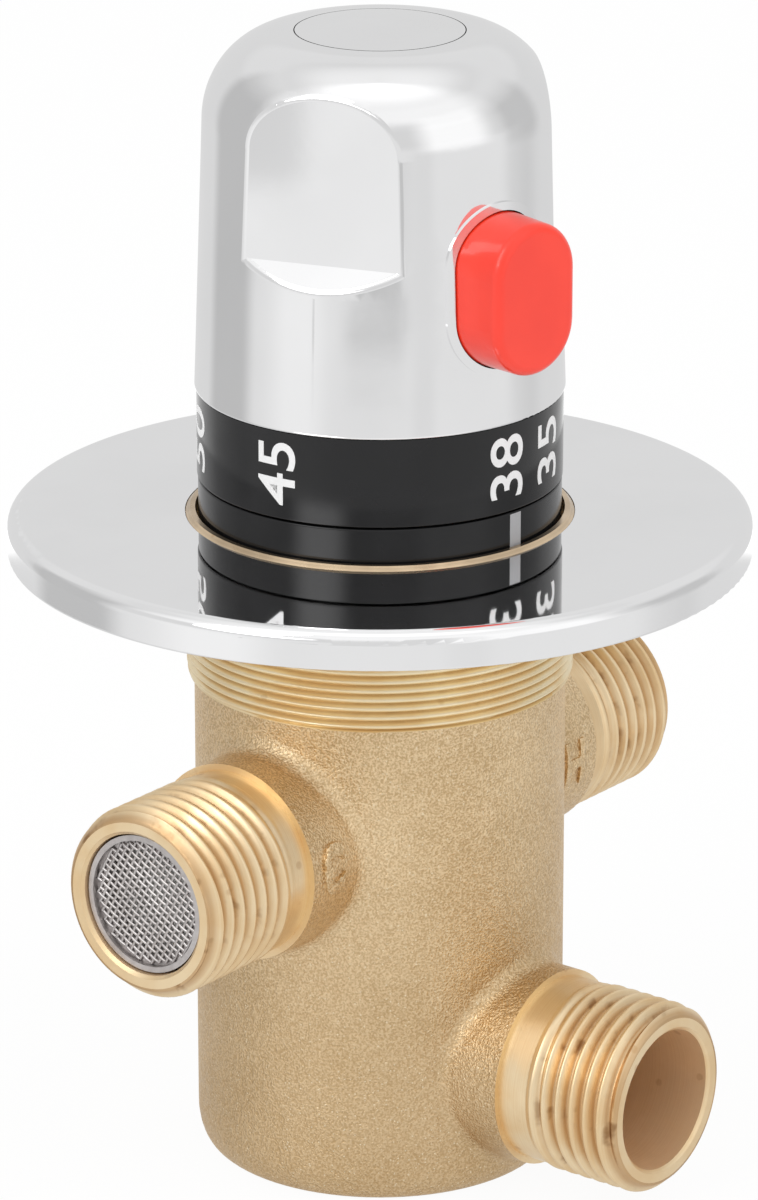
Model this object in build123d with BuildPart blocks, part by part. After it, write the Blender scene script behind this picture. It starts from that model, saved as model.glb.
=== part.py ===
from build123d import *
import os
from math import cos, radians, sin, tan

os.makedirs("parts", exist_ok=True)

# Shower mixer that holds its water at the temperature set on the knob. Sizes are in millimetres.
# Z is the knob's axis and the body stands on z = 0. The cold inlet points to -X, the hot inlet
# to +X and the mixed outlet to -Y.

# Clearances that several pieces share
running_clearance = 0.05
slide_clearance = 0.08
free_clearance = 0.3
seat_clearance = 0.1

# Body casting
body_radius = 20.2
body_edge_width = 1.8
body_edge_height = 4.2
collar_radius = 21.0
collar_step = 4.05
collar_height = 18.55
collar_chamfer = 0.5
ring_seat_depth = 1.95
ring_seat_clearance = 0.35
chamber_floor = 5.0
chamber_radius = 15.0
chamber_rise = 12.05
head_bore_radius = 16.5

# Ports: half-inch pipe threads of 20.955 mm, drawn plain at the crest
port_thread_radius = 10.4775
port_bore_radius = 7.8
port_chamfer = 0.8
port_mouth_chamfer = 0.35
port_boss_radius = 10.9
port_neck_radius = 10.2
inlet_height = 39.95
inlet_reach = 41.2
inlet_boss_reach = 25.4
inlet_neck_length = 2.6
inlet_fillet = 2.1
inlet_bore_margin = 1.0
inlet_window_width = 9.0
inlet_window_height = 4.6
inlet_window_offset = 4.0
outlet_height = 13.85
outlet_reach = 38.95
outlet_boss_reach = 24.0
outlet_neck_length = 3.7
outlet_fillet = 2.0

# Wall plate
plate_radius = 40.2
plate_thickness = 4.2
plate_below_collar = 0.45
plate_edge_radius = 1.4
plate_back_edge_radius = 0.3

# Index ring, fixed in the collar, and scale ring, turned by the knob
index_ring_radius = 19.6
index_ring_height = 5.65
ring_wall = 1.6
ring_gap = 0.2
ring_edge_radius = 0.2
scale_ring_radius = 19.7
scale_ring_height = 9.65
scale_spigot_wall = 1.15
scale_spigot_height = 5.5
scale_spigot_overlap = 3.0

# Knob shell
knob_foot_radius = 19.9
knob_side_height = 29.45
knob_side_radius = 18.86
knob_corner_width = 8.5
knob_corner_height = 9.5
knob_crown = 0.45
knob_wall = 1.9
knob_roof = 4.4
knob_foot_edge_radius = 0.4
grip_count = 3
grip_angle = -162.7
grip_distance = 17.1
grip_lean = 1.2
grip_shelf_height = 17.9
grip_shelf_slope = 45
grip_edge_radius = 1.1
hub_radius = 7.0
hub_length = 23.0
hub_web = 3.0
spline_depth_in_hub = 15.0
cap_radius = 9.0
cap_clearance = 0.12
cap_thickness = 2.4
cap_spigot_radius = 4.8
cap_spigot_height = 2.6
screw_pocket_radius = 5.0
screw_hole_radius = 2.2

# Override button in the knob's side, between two grips
button_angle = -101.8
button_height = 15.0
button_width = 11.2
button_length = 16.6
button_face_radius = 25.1
button_taper = 1.5
button_edge_radius = 1.05
button_gap = 0.17
button_flange_margin = 1.0
button_flange_back = 14.0
button_foot_width = 5.0
button_foot_thickness = 1.2
button_foot_drop = 16.0
lip_width = 0.9
lip_height = 0.3
button_spring_radius = 2.2
button_spring_wire = 0.25
button_spring_turns = 5

# Cartridge head, the turned brass piece that closes the body
head_thread_height = 15.0
head_shoulder_height = 2.0
head_shoulder_radius = 10.6
head_neck_radius = 9.5
head_neck_height = 8.0
head_roof = 4.0
head_tail_radius = 11.9
head_tail_wall = 2.7
head_tail_length = 9.8
head_hex_flats = 14.4

# Stop ring on the head's neck
stop_disc_thickness = 2.0
stop_rim_wall = 0.7
stop_rim_height = 8.0
stop_lug_start = 9.8
stop_lug_sweep = 12.0

# Spindle
spindle_radius = 4.0
spindle_head_radius = 4.0
spindle_spline_depth = 0.45
spindle_spline_count = 20
spindle_thread_radius = 3.5
spindle_collar_radius = 5.5
spindle_collar_height = 1.5
spindle_thread_length = 8.0
spindle_groove_depth = 0.6
spindle_groove_width = 0.8
spindle_seal_section = 0.52
spindle_seal_drop = 2.0
clip_width = 2.0
clip_mouth = 5.0

# Adjuster nut with the overload spring and its cup
nut_flats = 14.0
nut_height = 15.5
nut_roof = 4.0
nut_bore_radius = 5.7
nut_drop = 2.0
cup_radius = 5.5
cup_flange = 1.5
cup_stem_radius = 2.8
cup_stem_height = 4.0
cup_socket_depth = 0.9
overload_clip_height = 1.0
overload_clip_hole = 4.0
overload_spring_radius = 4.55
overload_spring_wire = 0.5
overload_spring_turns = 5

# Cartridge sleeve
sleeve_radius = 14.8
sleeve_bore_radius = 12.0
sleeve_drop = 15.95
sleeve_flange_radius = 16.3
sleeve_flange_height = 3.0
gallery_radius = 13.4
seal_pitch = 9.9
seal_section = 0.85
seal_groove_width = 2.2
seal_land = 0.45
window_count = 6
window_width = 7.0
window_height = 2.6
seat_radius = 9.2
lower_seat_thickness = 4.8

# Shuttle between the two seats, carried on the wax capsule
shuttle_gap = 0.7
shuttle_height = 9.0
shuttle_wall = 1.35
shuttle_web = 3.0
shuttle_web_drop = 3.5
shuttle_hole_radius = 1.0
shuttle_hole_count = 10
shuttle_hole_circle = 9.2
shuttle_seal_section = 0.42
shuttle_groove_width = 1.2
capsule_radius = 6.0
capsule_length = 27.5
capsule_edge_radius = 1.2
capsule_flange_radius = 7.4
capsule_flange_height = 1.6
capsule_neck_radius = 3.4
capsule_neck_height = 9.0
piston_radius = 1.5
piston_sunk = 7.0
return_spring_radius = 7.35
return_spring_wire = 0.55
return_spring_turns = 4
retainer_thickness = 1.5
retainer_hole_count = 8
retainer_hole_radius = 1.2
retainer_hole_circle = 10.2

# Check valves and strainers in the inlets
check_clearance = 0.15
check_inner_radius = 5.9
check_length = 16.8
check_seat_radius = 4.4
check_seat_thickness = 1.5
check_arm_width = 1.6
check_arm_thickness = 1.5
check_hub_radius = 2.2
check_hub_length = 4.5
check_groove_depth = 1.05
check_seal_section = 0.55
check_groove_width = 1.4
check_seal_offset = 3.6
poppet_radius = 5.3
poppet_thickness = 1.4
poppet_stem_radius = 1.2
poppet_gap = 0.15
poppet_travel = 3.0
check_spring_radius = 3.1
check_spring_wire = 0.3
check_spring_turns = 5
strainer_clearance = 0.25
strainer_wall = 0.6
strainer_recess = 0.7
strainer_depth = 3.7
strainer_lip_width = 1.0
strainer_lip_thickness = 0.5
mesh_thickness = 0.3
mesh_recess = 1.2
mesh_pitch = 1.25
mesh_bar = 0.4

# Heights and radii that follow from the sizes above
collar_bottom = inlet_height + port_boss_radius + collar_step
collar_top = collar_bottom + collar_height
chamber_top = inlet_height + chamber_rise
plate_bottom = collar_top - plate_below_collar - plate_thickness
index_ring_bottom = collar_top - ring_seat_depth
index_ring_top = index_ring_bottom + index_ring_height
scale_ring_bottom = index_ring_top + ring_gap
scale_ring_top = scale_ring_bottom + scale_ring_height
scale_bore_radius = scale_ring_radius - ring_wall
knob_foot = scale_ring_top
knob_side_top = knob_foot + knob_side_height
knob_rim_radius = knob_side_radius - knob_corner_width
knob_rim_height = knob_side_top + knob_corner_height
knob_top = knob_rim_height + knob_crown
grip_shelf = knob_foot + grip_shelf_height
hub_top = knob_top - knob_roof
hub_bottom = hub_top - hub_length
cap_bottom = knob_top - cap_thickness
spline_top = hub_bottom + spline_depth_in_hub
screw_seat = spline_top + hub_web
spigot_radius = scale_bore_radius - seat_clearance / 2
button_middle = knob_foot + button_height
head_seat = chamber_top + sleeve_flange_height
head_top_of_thread = head_seat + head_thread_height
head_shoulder_top = head_top_of_thread + head_shoulder_height
head_top = head_shoulder_top + head_neck_height
stop_rim_radius = index_ring_radius - ring_wall - free_clearance + seat_clearance
stop_rim_inner = stop_rim_radius - stop_rim_wall
spindle_thread_top = head_top - head_roof - spindle_collar_height - seat_clearance
spindle_top = spline_top - seat_clearance
nut_top = spindle_thread_top - nut_drop
nut_bottom = nut_top - nut_height
cup_bottom = nut_bottom + overload_clip_height
nut_ceiling = nut_top - nut_roof
upper_seat = head_seat - head_tail_length
shuttle_top = upper_seat - shuttle_gap
shuttle_bottom = shuttle_top - shuttle_height
lower_seat = shuttle_bottom - shuttle_gap
lower_seat_bottom = lower_seat - lower_seat_thickness
sleeve_bottom = inlet_height - sleeve_drop
shuttle_radius = sleeve_bore_radius - slide_clearance
web_top = shuttle_top - shuttle_web_drop
web_bottom = web_top - shuttle_web
capsule_bottom = web_top - capsule_length
flange_top = web_top + capsule_flange_height
neck_top = flange_top + capsule_neck_height
retainer_top = sleeve_bottom + retainer_thickness
check_radius = port_bore_radius - check_clearance
strainer_radius = port_bore_radius - strainer_clearance
strainer_face = inlet_reach - strainer_recess
check_end = strainer_face - strainer_depth
check_start = check_end - check_length
inlet_bore_end = check_start - inlet_bore_margin
mesh_face = inlet_reach - mesh_recess
mesh_back = mesh_face - mesh_thickness


def port_frame(direction, height):
    """Level plane through a port's axis, with X pointing out of the port."""
    return Plane(origin=(0, 0, height), x_dir=direction, z_dir=(0, 0, 1))


def port_section(direction, height, reach):
    """Plane across a port, at a distance from the knob's axis, facing outwards."""
    frame = port_frame(direction, height)
    return Plane(origin=frame.origin + frame.x_dir * reach, x_dir=frame.y_dir, z_dir=frame.x_dir)


def button_section(radius, height):
    """Plane that faces out of the knob at the button, with X running round the knob."""
    outward = Vector(cos(radians(button_angle)), sin(radians(button_angle)), 0)
    around = Vector(-outward.Y, outward.X, 0)
    return Plane(origin=outward * radius + Vector(0, 0, height), x_dir=around, z_dir=outward)


def turn(points, mode=Mode.ADD):
    """Turn a closed outline of (radius, height) points about the knob's axis."""
    with BuildSketch(Plane.XZ) as outline:
        with BuildLine():
            Polyline(*points, close=True)
        make_face()
    revolve(outline.sketch, axis=Axis.Z, mode=mode)


def turn_port(frame, points, mode=Mode.ADD):
    """Turn a closed outline of (reach, radius) points about a port's axis."""
    with BuildSketch(frame) as outline:
        with BuildLine():
            Polyline(*points, close=True)
        make_face()
    revolve(outline.sketch, axis=Axis(frame.origin, frame.x_dir), mode=mode)


def obround(section, width, length):
    """Upright slot on a plane whose Y runs up the knob."""
    with BuildSketch(section) as slot:
        SlotOverall(length, width, rotation=90)
    return slot.sketch


def wind_spring(base, mean_radius, wire_radius, turns, length):
    """Wind a compression spring upright and stand it on a plane."""
    travel = length - 2 * wire_radius
    with BuildPart() as spring:
        with BuildLine() as path:
            Helix(pitch=travel / turns, height=travel, radius=mean_radius)
        with BuildSketch(Plane(origin=path.line @ 0, z_dir=path.line % 0)) as wire:
            Circle(wire_radius)
        sweep(wire.sketch, path=path.line, is_frenet=True)
    spring.part = spring.part.moved(base.offset(wire_radius).location)
    return spring


def seal_ring(plane, centre_radius, section_radius):
    """Round rubber ring lying on a plane."""
    with BuildPart(plane) as ring:
        Torus(centre_radius, section_radius)
    return ring


cold, hot, mixed = (-1, 0, 0), (1, 0, 0), (0, -1, 0)
cold_frame = port_frame(cold, inlet_height)
hot_frame = port_frame(hot, inlet_height)
mixed_frame = port_frame(mixed, outlet_height)

# Valve body: the cast cylinder with its three bosses, blended where they meet
with BuildPart() as valve_body:
    with BuildSketch(Plane.XZ) as cylinder:
        with BuildLine() as wall:
            foot = EllipticalCenterArc(
                (body_radius - body_edge_width, body_edge_height),
                body_edge_width,
                body_edge_height,
                start_angle=270,
                arc_size=90,
            )
            Polyline((body_radius, body_edge_height), (body_radius, collar_bottom), (0, collar_bottom), (0, 0), foot @ 0)
        make_face()
    revolve(axis=Axis.Z)
    for frame in (cold_frame, hot_frame):
        turn_port(frame, [(0, 0), (inlet_boss_reach, 0), (inlet_boss_reach, port_boss_radius), (0, port_boss_radius)])
    fillet(valve_body.edges().filter_by(GeomType.BSPLINE), inlet_fillet)
    turn_port(
        mixed_frame,
        [(0, 0), (outlet_boss_reach, 0), (outlet_boss_reach, port_boss_radius), (0, port_boss_radius)],
    )
    outlet_root = (
        valve_body.edges(Select.LAST)
        .filter_by(GeomType.CIRCLE, reverse=True)
        .filter_by(GeomType.LINE, reverse=True)
    )
    fillet(outlet_root, outlet_fillet)

    # Collar for the wall plate, with a seat for the index ring in its mouth
    turn(
        [
            (0, collar_bottom),
            (collar_radius - collar_chamfer, collar_bottom),
            (collar_radius, collar_bottom + collar_chamfer),
            (collar_radius, collar_top - collar_chamfer),
            (collar_radius - collar_chamfer, collar_top),
            (0, collar_top),
        ]
    )

    # Turned ends of the ports: neck, thread and chamfer
    for frame, reach, boss, neck in (
        (cold_frame, inlet_reach, inlet_boss_reach, inlet_neck_length),
        (hot_frame, inlet_reach, inlet_boss_reach, inlet_neck_length),
        (mixed_frame, outlet_reach, outlet_boss_reach, outlet_neck_length),
    ):
        turn_port(
            frame,
            [
                (boss, 0),
                (boss, port_neck_radius),
                (boss + neck, port_neck_radius),
                (boss + neck, port_thread_radius),
                (reach - port_chamfer, port_thread_radius),
                (reach, port_thread_radius - port_chamfer),
                (reach, 0),
            ],
        )

    # Water ways: the chamber, the outlet, and each inlet with its window into the chamber
    turn(
        [
            (0, chamber_floor),
            (chamber_radius, chamber_floor),
            (chamber_radius, chamber_top),
            (head_bore_radius, chamber_top),
            (head_bore_radius, index_ring_bottom),
            (index_ring_radius + ring_seat_clearance, index_ring_bottom),
            (index_ring_radius + ring_seat_clearance, collar_top),
            (0, collar_top),
        ],
        mode=Mode.SUBTRACT,
    )
    for frame, reach, start in (
        (cold_frame, inlet_reach, inlet_bore_end),
        (hot_frame, inlet_reach, inlet_bore_end),
        (mixed_frame, outlet_reach, chamber_radius - port_mouth_chamfer - 1),
    ):
        turn_port(
            frame,
            [
                (start, 0),
                (start, port_bore_radius),
                (reach - port_mouth_chamfer, port_bore_radius),
                (reach, port_bore_radius + port_mouth_chamfer),
                (reach, 0),
            ],
            mode=Mode.SUBTRACT,
        )
    for direction, offset in ((cold, inlet_window_offset), (hot, -inlet_window_offset)):
        with BuildSketch(port_section(direction, inlet_height + offset, inlet_bore_end)):
            Rectangle(inlet_window_width, inlet_window_height)
        extrude(amount=-(inlet_bore_end - chamber_radius + 2), mode=Mode.SUBTRACT)

# Wall plate, a polished disc on the collar
with BuildPart() as wall_plate:
    with BuildSketch(Plane.XY.offset(plate_bottom)):
        Circle(plate_radius)
    extrude(amount=plate_thickness)
    fillet(wall_plate.edges().sort_by(Axis.Z)[-1], plate_edge_radius)
    fillet(wall_plate.edges().sort_by(Axis.Z)[0], plate_back_edge_radius)
    with BuildSketch(Plane.XY.offset(plate_bottom)):
        Circle(collar_radius + running_clearance)
    extrude(amount=plate_thickness, mode=Mode.SUBTRACT)

# Index ring, which stands still in the mouth of the collar
with BuildPart() as index_ring:
    turn(
        [
            (index_ring_radius - ring_wall, index_ring_bottom),
            (index_ring_radius, index_ring_bottom),
            (index_ring_radius, index_ring_top),
            (index_ring_radius - ring_wall, index_ring_top),
        ]
    )
    fillet(index_ring.edges().group_by(Axis.Z)[-1].sort_by(SortBy.LENGTH)[-1], ring_edge_radius)

# Scale ring under the knob, with a spigot that snaps into the shell
with BuildPart() as scale_ring:
    turn(
        [
            (scale_bore_radius, scale_ring_bottom),
            (scale_ring_radius, scale_ring_bottom),
            (scale_ring_radius, scale_ring_top),
            (spigot_radius, scale_ring_top),
            (spigot_radius, scale_ring_top + scale_spigot_height),
            (spigot_radius - scale_spigot_wall, scale_ring_top + scale_spigot_height),
            (spigot_radius - scale_spigot_wall, scale_ring_top - scale_spigot_overlap),
            (scale_bore_radius, scale_ring_top - scale_spigot_overlap),
        ]
    )
    fillet(scale_ring.edges().group_by(Axis.Z)[0].sort_by(SortBy.LENGTH)[-1], ring_edge_radius)


def dome(proud):
    """Turn the knob's outer form, raised by a small height all over."""
    with BuildSketch(Plane.XZ) as outline:
        with BuildLine():
            side = Line((knob_foot_radius + proud, knob_foot), (knob_side_radius + proud, knob_side_top))
            corner = EllipticalCenterArc(
                (knob_rim_radius, knob_side_top),
                knob_corner_width + proud,
                knob_corner_height + proud,
                start_angle=0,
                arc_size=90,
            )
            TangentArc((0, knob_top + proud), corner @ 1, tangent=(1, 0))
            Polyline((0, knob_top + proud), (0, knob_foot), side @ 0)
        make_face()
    revolve(outline.sketch, axis=Axis.Z)


def cut_grips(distance, shelf):
    """Cut the finger grips, each a leaning plane that stands on a sloping shelf."""
    reach = knob_foot_radius + 1
    roof = knob_top + 1
    with BuildPart(mode=Mode.PRIVATE) as cutter:
        with BuildSketch(Plane.XZ):
            with BuildLine():
                Polyline(
                    (distance, shelf),
                    (reach, shelf - (reach - distance) * tan(radians(grip_shelf_slope))),
                    (reach, roof),
                    (distance - (roof - shelf) * tan(radians(grip_lean)), roof),
                    close=True,
                )
            make_face()
        extrude(amount=knob_foot_radius, both=True)
    with PolarLocations(0, grip_count, start_angle=grip_angle):
        add(cutter.part, mode=Mode.SUBTRACT)


# Hollow of the knob, which follows its outside and its grips at one wall thickness
with BuildPart() as knob_hollow:
    with BuildSketch(Plane.XZ) as hollow_outline:
        with BuildLine():
            hollow_mouth = Polyline(
                (0, knob_foot),
                (scale_bore_radius, knob_foot),
                (scale_bore_radius, scale_ring_top + scale_spigot_height + seat_clearance),
                (knob_side_radius - knob_wall + 0.4, scale_ring_top + scale_spigot_height + seat_clearance),
                (knob_side_radius - knob_wall, hub_top - knob_corner_height),
            )
            hollow_corner = EllipticalCenterArc(
                (knob_rim_radius, hub_top - knob_corner_height),
                knob_corner_width - knob_wall,
                knob_corner_height,
                start_angle=0,
                arc_size=90,
            )
            Polyline(hollow_corner @ 1, (0, hub_top), (0, knob_foot))
        make_face()
    revolve(axis=Axis.Z)
    cut_grips(grip_distance - knob_wall, grip_shelf - knob_wall * tan(radians(45 - grip_shelf_slope / 2)))

# Raised lip round the button's hole, a slice of the knob's form made slightly larger
with BuildPart() as button_lip:
    dome(lip_height)
    extrude(
        obround(
            button_section(knob_side_radius - knob_wall, button_middle),
            button_width + 2 * (button_gap + lip_width),
            button_length + 2 * (button_gap + lip_width),
        ),
        amount=knob_foot_radius,
        mode=Mode.INTERSECT,
    )

# Knob shell with its splined hub
with BuildPart() as knob_shell:
    dome(0)
    fillet(knob_shell.edges().sort_by(Axis.Z)[0], knob_foot_edge_radius)
    cut_grips(grip_distance, grip_shelf)
    fillet(knob_shell.edges(Select.LAST).filter_by(GeomType.LINE, reverse=True), grip_edge_radius)
    add(knob_hollow.part, mode=Mode.SUBTRACT)
    add(button_lip.part)
    with BuildSketch(Plane.XY.offset(hub_bottom)):
        Circle(hub_radius)
    extrude(amount=hub_length)
    extrude(
        obround(
            button_section(hub_radius + 1, button_middle),
            button_width + 2 * button_gap,
            button_length + 2 * button_gap,
        ),
        amount=knob_foot_radius,
        mode=Mode.SUBTRACT,
    )
    turn(
        [
            (0, screw_seat),
            (screw_pocket_radius, screw_seat),
            (screw_pocket_radius, cap_bottom),
            (cap_radius + cap_clearance, cap_bottom),
            (cap_radius + cap_clearance, knob_top + 1),
            (0, knob_top + 1),
        ],
        mode=Mode.SUBTRACT,
    )
    with BuildSketch(Plane.XY.offset(spline_top)):
        Circle(screw_hole_radius)
    extrude(amount=hub_web, mode=Mode.SUBTRACT)


def spline_outline(plane, radius):
    """Toothed outline of the spindle's head, or of the hub's bore around it."""
    step = 180 / spindle_spline_count
    tips = []
    for index in range(2 * spindle_spline_count):
        reach = radius - spindle_spline_depth * (index % 2)
        tips.append((reach * cos(radians(index * step)), reach * sin(radians(index * step))))
    with BuildSketch(plane) as outline:
        Polygon(*tips, align=None)
    return outline.sketch


with knob_shell:
    extrude(
        spline_outline(Plane.XY.offset(hub_bottom), spindle_head_radius + seat_clearance),
        amount=spline_depth_in_hub,
        mode=Mode.SUBTRACT,
    )

# Cap that hides the screw, crowned like the shell
with BuildPart() as knob_cap:
    dome(0)
    with BuildSketch(Plane.XY.offset(cap_bottom)):
        Circle(cap_radius)
    extrude(amount=cap_thickness + 1, mode=Mode.INTERSECT)
    with BuildSketch(Plane.XY.offset(cap_bottom - cap_spigot_height)):
        Circle(cap_spigot_radius)
        Circle(cap_spigot_radius - ring_wall, mode=Mode.SUBTRACT)
    extrude(amount=cap_spigot_height)

# Screw that holds the knob on the spindle
screw_head_radius = 3.0
screw_head_height = 2.4
screw_thread_radius = 2.0
screw_thread_length = 10.0
screw_socket_flats = 2.5
with BuildPart() as knob_screw:
    turn(
        [
            (0, screw_seat - screw_thread_length),
            (screw_thread_radius, screw_seat - screw_thread_length),
            (screw_thread_radius, screw_seat),
            (screw_head_radius, screw_seat),
            (screw_head_radius, screw_seat + screw_head_height),
            (0, screw_seat + screw_head_height),
        ]
    )
    with BuildSketch(Plane.XY.offset(screw_seat + screw_head_height)):
        RegularPolygon(screw_socket_flats / 2, 6, major_radius=False)
    extrude(amount=-screw_head_height / 2, mode=Mode.SUBTRACT)

# Override button: a soft-edged head, a flange behind the shell and a foot that meets the stop
with BuildPart() as override_button:
    extrude(
        obround(
            button_section(button_flange_back, button_middle),
            button_width + 2 * button_flange_margin,
            button_length + 2 * button_flange_margin,
        ),
        amount=knob_foot_radius,
    )
    with BuildSketch(Plane.XY.offset(knob_foot)):
        Circle(knob_side_radius - knob_wall - free_clearance)
    extrude(amount=knob_side_height, mode=Mode.INTERSECT)
    extrude(
        obround(button_section(button_flange_back, button_middle), button_width, button_length),
        amount=knob_foot_radius - button_flange_back,
    )
    extrude(
        obround(button_section(knob_foot_radius, button_middle), button_width, button_length),
        amount=button_face_radius - knob_foot_radius,
        taper=button_taper,
    )
    button_face = override_button.faces().sort_by(Axis((0, 0, 0), button_section(0, 0).z_dir))[-1]
    fillet(button_face.edges(), button_edge_radius)
    foot_radius = stop_rim_inner - 2 * free_clearance
    with BuildSketch(button_section(foot_radius - button_foot_thickness, button_middle)):
        with Locations((0, -button_length / 2)):
            Rectangle(button_foot_width, button_foot_drop, align=(Align.CENTER, Align.MAX))
    extrude(amount=button_foot_thickness)

# Spring that pushes the button out, between the hub and the button's flange
button_spring = wind_spring(
    button_section(hub_radius, button_middle),
    button_spring_radius,
    button_spring_wire,
    button_spring_turns,
    button_flange_back - hub_radius,
)

# Cartridge head: threaded disc, neck with the spindle's bearing, and the tail that is the upper seat
with BuildPart() as cartridge_head:
    turn(
        [
            (0, head_seat),
            (head_bore_radius - running_clearance, head_seat),
            (head_bore_radius - running_clearance, head_top_of_thread),
            (head_shoulder_radius, head_top_of_thread),
            (head_shoulder_radius, head_shoulder_top),
            (head_neck_radius, head_shoulder_top),
            (head_neck_radius, head_top),
            (0, head_top),
        ]
    )
    with BuildSketch(Plane.XY.offset(upper_seat)):
        Circle(head_tail_radius)
    extrude(amount=head_tail_length)
    with BuildSketch(Plane.XY.offset(upper_seat)):
        Circle(head_tail_radius - head_tail_wall)
    extrude(amount=head_tail_length, mode=Mode.SUBTRACT)
    with BuildSketch(Plane.XY.offset(head_seat)):
        RegularPolygon(head_hex_flats / 2, 6, major_radius=False)
    extrude(amount=head_top - head_roof - head_seat, mode=Mode.SUBTRACT)
    with BuildSketch(Plane.XY.offset(head_top - head_roof)):
        Circle(spindle_radius + running_clearance)
    extrude(amount=head_roof, mode=Mode.SUBTRACT)

# Stop ring on the neck, with the lug that stands for the safe temperature
with BuildPart() as stop_ring:
    turn(
        [
            (head_neck_radius + running_clearance, head_shoulder_top),
            (stop_rim_radius, head_shoulder_top),
            (stop_rim_radius, head_shoulder_top + stop_rim_height),
            (stop_rim_inner, head_shoulder_top + stop_rim_height),
            (stop_rim_inner, head_shoulder_top + stop_disc_thickness),
            (head_neck_radius + running_clearance, head_shoulder_top + stop_disc_thickness),
        ]
    )
    with BuildSketch(Plane.XZ) as lug_outline:
        with BuildLine():
            Polyline(
                (stop_rim_inner - free_clearance, head_shoulder_top + stop_disc_thickness),
                (stop_rim_inner, head_shoulder_top + stop_disc_thickness),
                (stop_rim_inner, head_shoulder_top + stop_rim_height),
                (stop_rim_inner - free_clearance, head_shoulder_top + stop_rim_height),
                close=True,
            )
        make_face()
    revolve(
        lug_outline.sketch.rotate(Axis.Z, button_angle + stop_lug_start),
        axis=Axis.Z,
        revolution_arc=stop_lug_sweep,
    )

# Spindle: threaded end, collar under the head's roof, seal groove, clip groove and splined head
spindle_seal_height = head_top - spindle_seal_drop
clip_bottom = head_top + seat_clearance
with BuildPart() as spindle:
    turn(
        [
            (0, spindle_thread_top - spindle_thread_length),
            (spindle_thread_radius, spindle_thread_top - spindle_thread_length),
            (spindle_thread_radius, spindle_thread_top),
            (spindle_collar_radius, spindle_thread_top),
            (spindle_collar_radius, spindle_thread_top + spindle_collar_height),
            (spindle_radius, spindle_thread_top + spindle_collar_height),
            (spindle_radius, spindle_seal_height - 2 * spindle_seal_section),
            (spindle_radius - 2 * spindle_seal_section, spindle_seal_height - 2 * spindle_seal_section),
            (spindle_radius - 2 * spindle_seal_section, spindle_seal_height + 2 * spindle_seal_section),
            (spindle_radius, spindle_seal_height + 2 * spindle_seal_section),
            (spindle_radius, clip_bottom),
            (spindle_radius - spindle_groove_depth, clip_bottom),
            (spindle_radius - spindle_groove_depth, clip_bottom + spindle_groove_width),
            (spindle_radius, clip_bottom + spindle_groove_width),
            (spindle_radius, hub_bottom),
            (0, hub_bottom),
        ]
    )
    extrude(spline_outline(Plane.XY.offset(hub_bottom), spindle_head_radius), amount=spindle_top - hub_bottom)
    with BuildSketch(Plane.XY.offset(spindle_top)):
        Circle(screw_thread_radius + running_clearance)
    extrude(amount=-screw_thread_length, mode=Mode.SUBTRACT)

# Spring clip in the spindle's groove
with BuildPart() as spindle_clip:
    with BuildSketch(Plane.XY.offset(clip_bottom)):
        Circle(spindle_radius + clip_width)
        Circle(spindle_radius - spindle_groove_depth + running_clearance, mode=Mode.SUBTRACT)
        with Locations((spindle_radius, 0)):
            Rectangle(2 * spindle_radius, clip_mouth, mode=Mode.SUBTRACT)
    extrude(amount=spindle_groove_width - seat_clearance / 2)

spindle_seal = seal_ring(
    Plane.XY.offset(spindle_seal_height), spindle_radius - spindle_seal_section, spindle_seal_section
)

# Adjuster nut, which climbs the spindle's thread and can't turn in the head's hexagon
with BuildPart() as adjuster_nut:
    with BuildSketch(Plane.XY.offset(nut_bottom)):
        RegularPolygon(nut_flats / 2, 6, major_radius=False)
    extrude(amount=nut_height)
    with BuildSketch(Plane.XY.offset(nut_bottom)):
        Circle(nut_bore_radius)
    extrude(amount=nut_height - nut_roof, mode=Mode.SUBTRACT)
    with BuildSketch(Plane.XY.offset(nut_ceiling)):
        Circle(spindle_thread_radius + running_clearance)
    extrude(amount=nut_roof, mode=Mode.SUBTRACT)

# Ring that keeps the overload cup in the nut
with BuildPart() as overload_clip:
    with BuildSketch(Plane.XY.offset(nut_bottom)):
        Circle(nut_bore_radius)
        Circle(overload_clip_hole, mode=Mode.SUBTRACT)
    extrude(amount=overload_clip_height)

# Cup that the wax piston pushes on, backed by the overload spring
with BuildPart() as overload_cup:
    turn(
        [
            (0, cup_bottom + cup_socket_depth),
            (piston_radius + seat_clearance, cup_bottom + cup_socket_depth),
            (piston_radius + seat_clearance, cup_bottom),
            (cup_radius, cup_bottom),
            (cup_radius, cup_bottom + cup_flange),
            (cup_stem_radius, cup_bottom + cup_flange),
            (cup_stem_radius, cup_bottom + cup_flange + cup_stem_height),
            (0, cup_bottom + cup_flange + cup_stem_height),
        ]
    )

overload_spring = wind_spring(
    Plane.XY.offset(cup_bottom + cup_flange),
    overload_spring_radius,
    overload_spring_wire,
    overload_spring_turns,
    nut_ceiling - cup_bottom - cup_flange,
)

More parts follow.
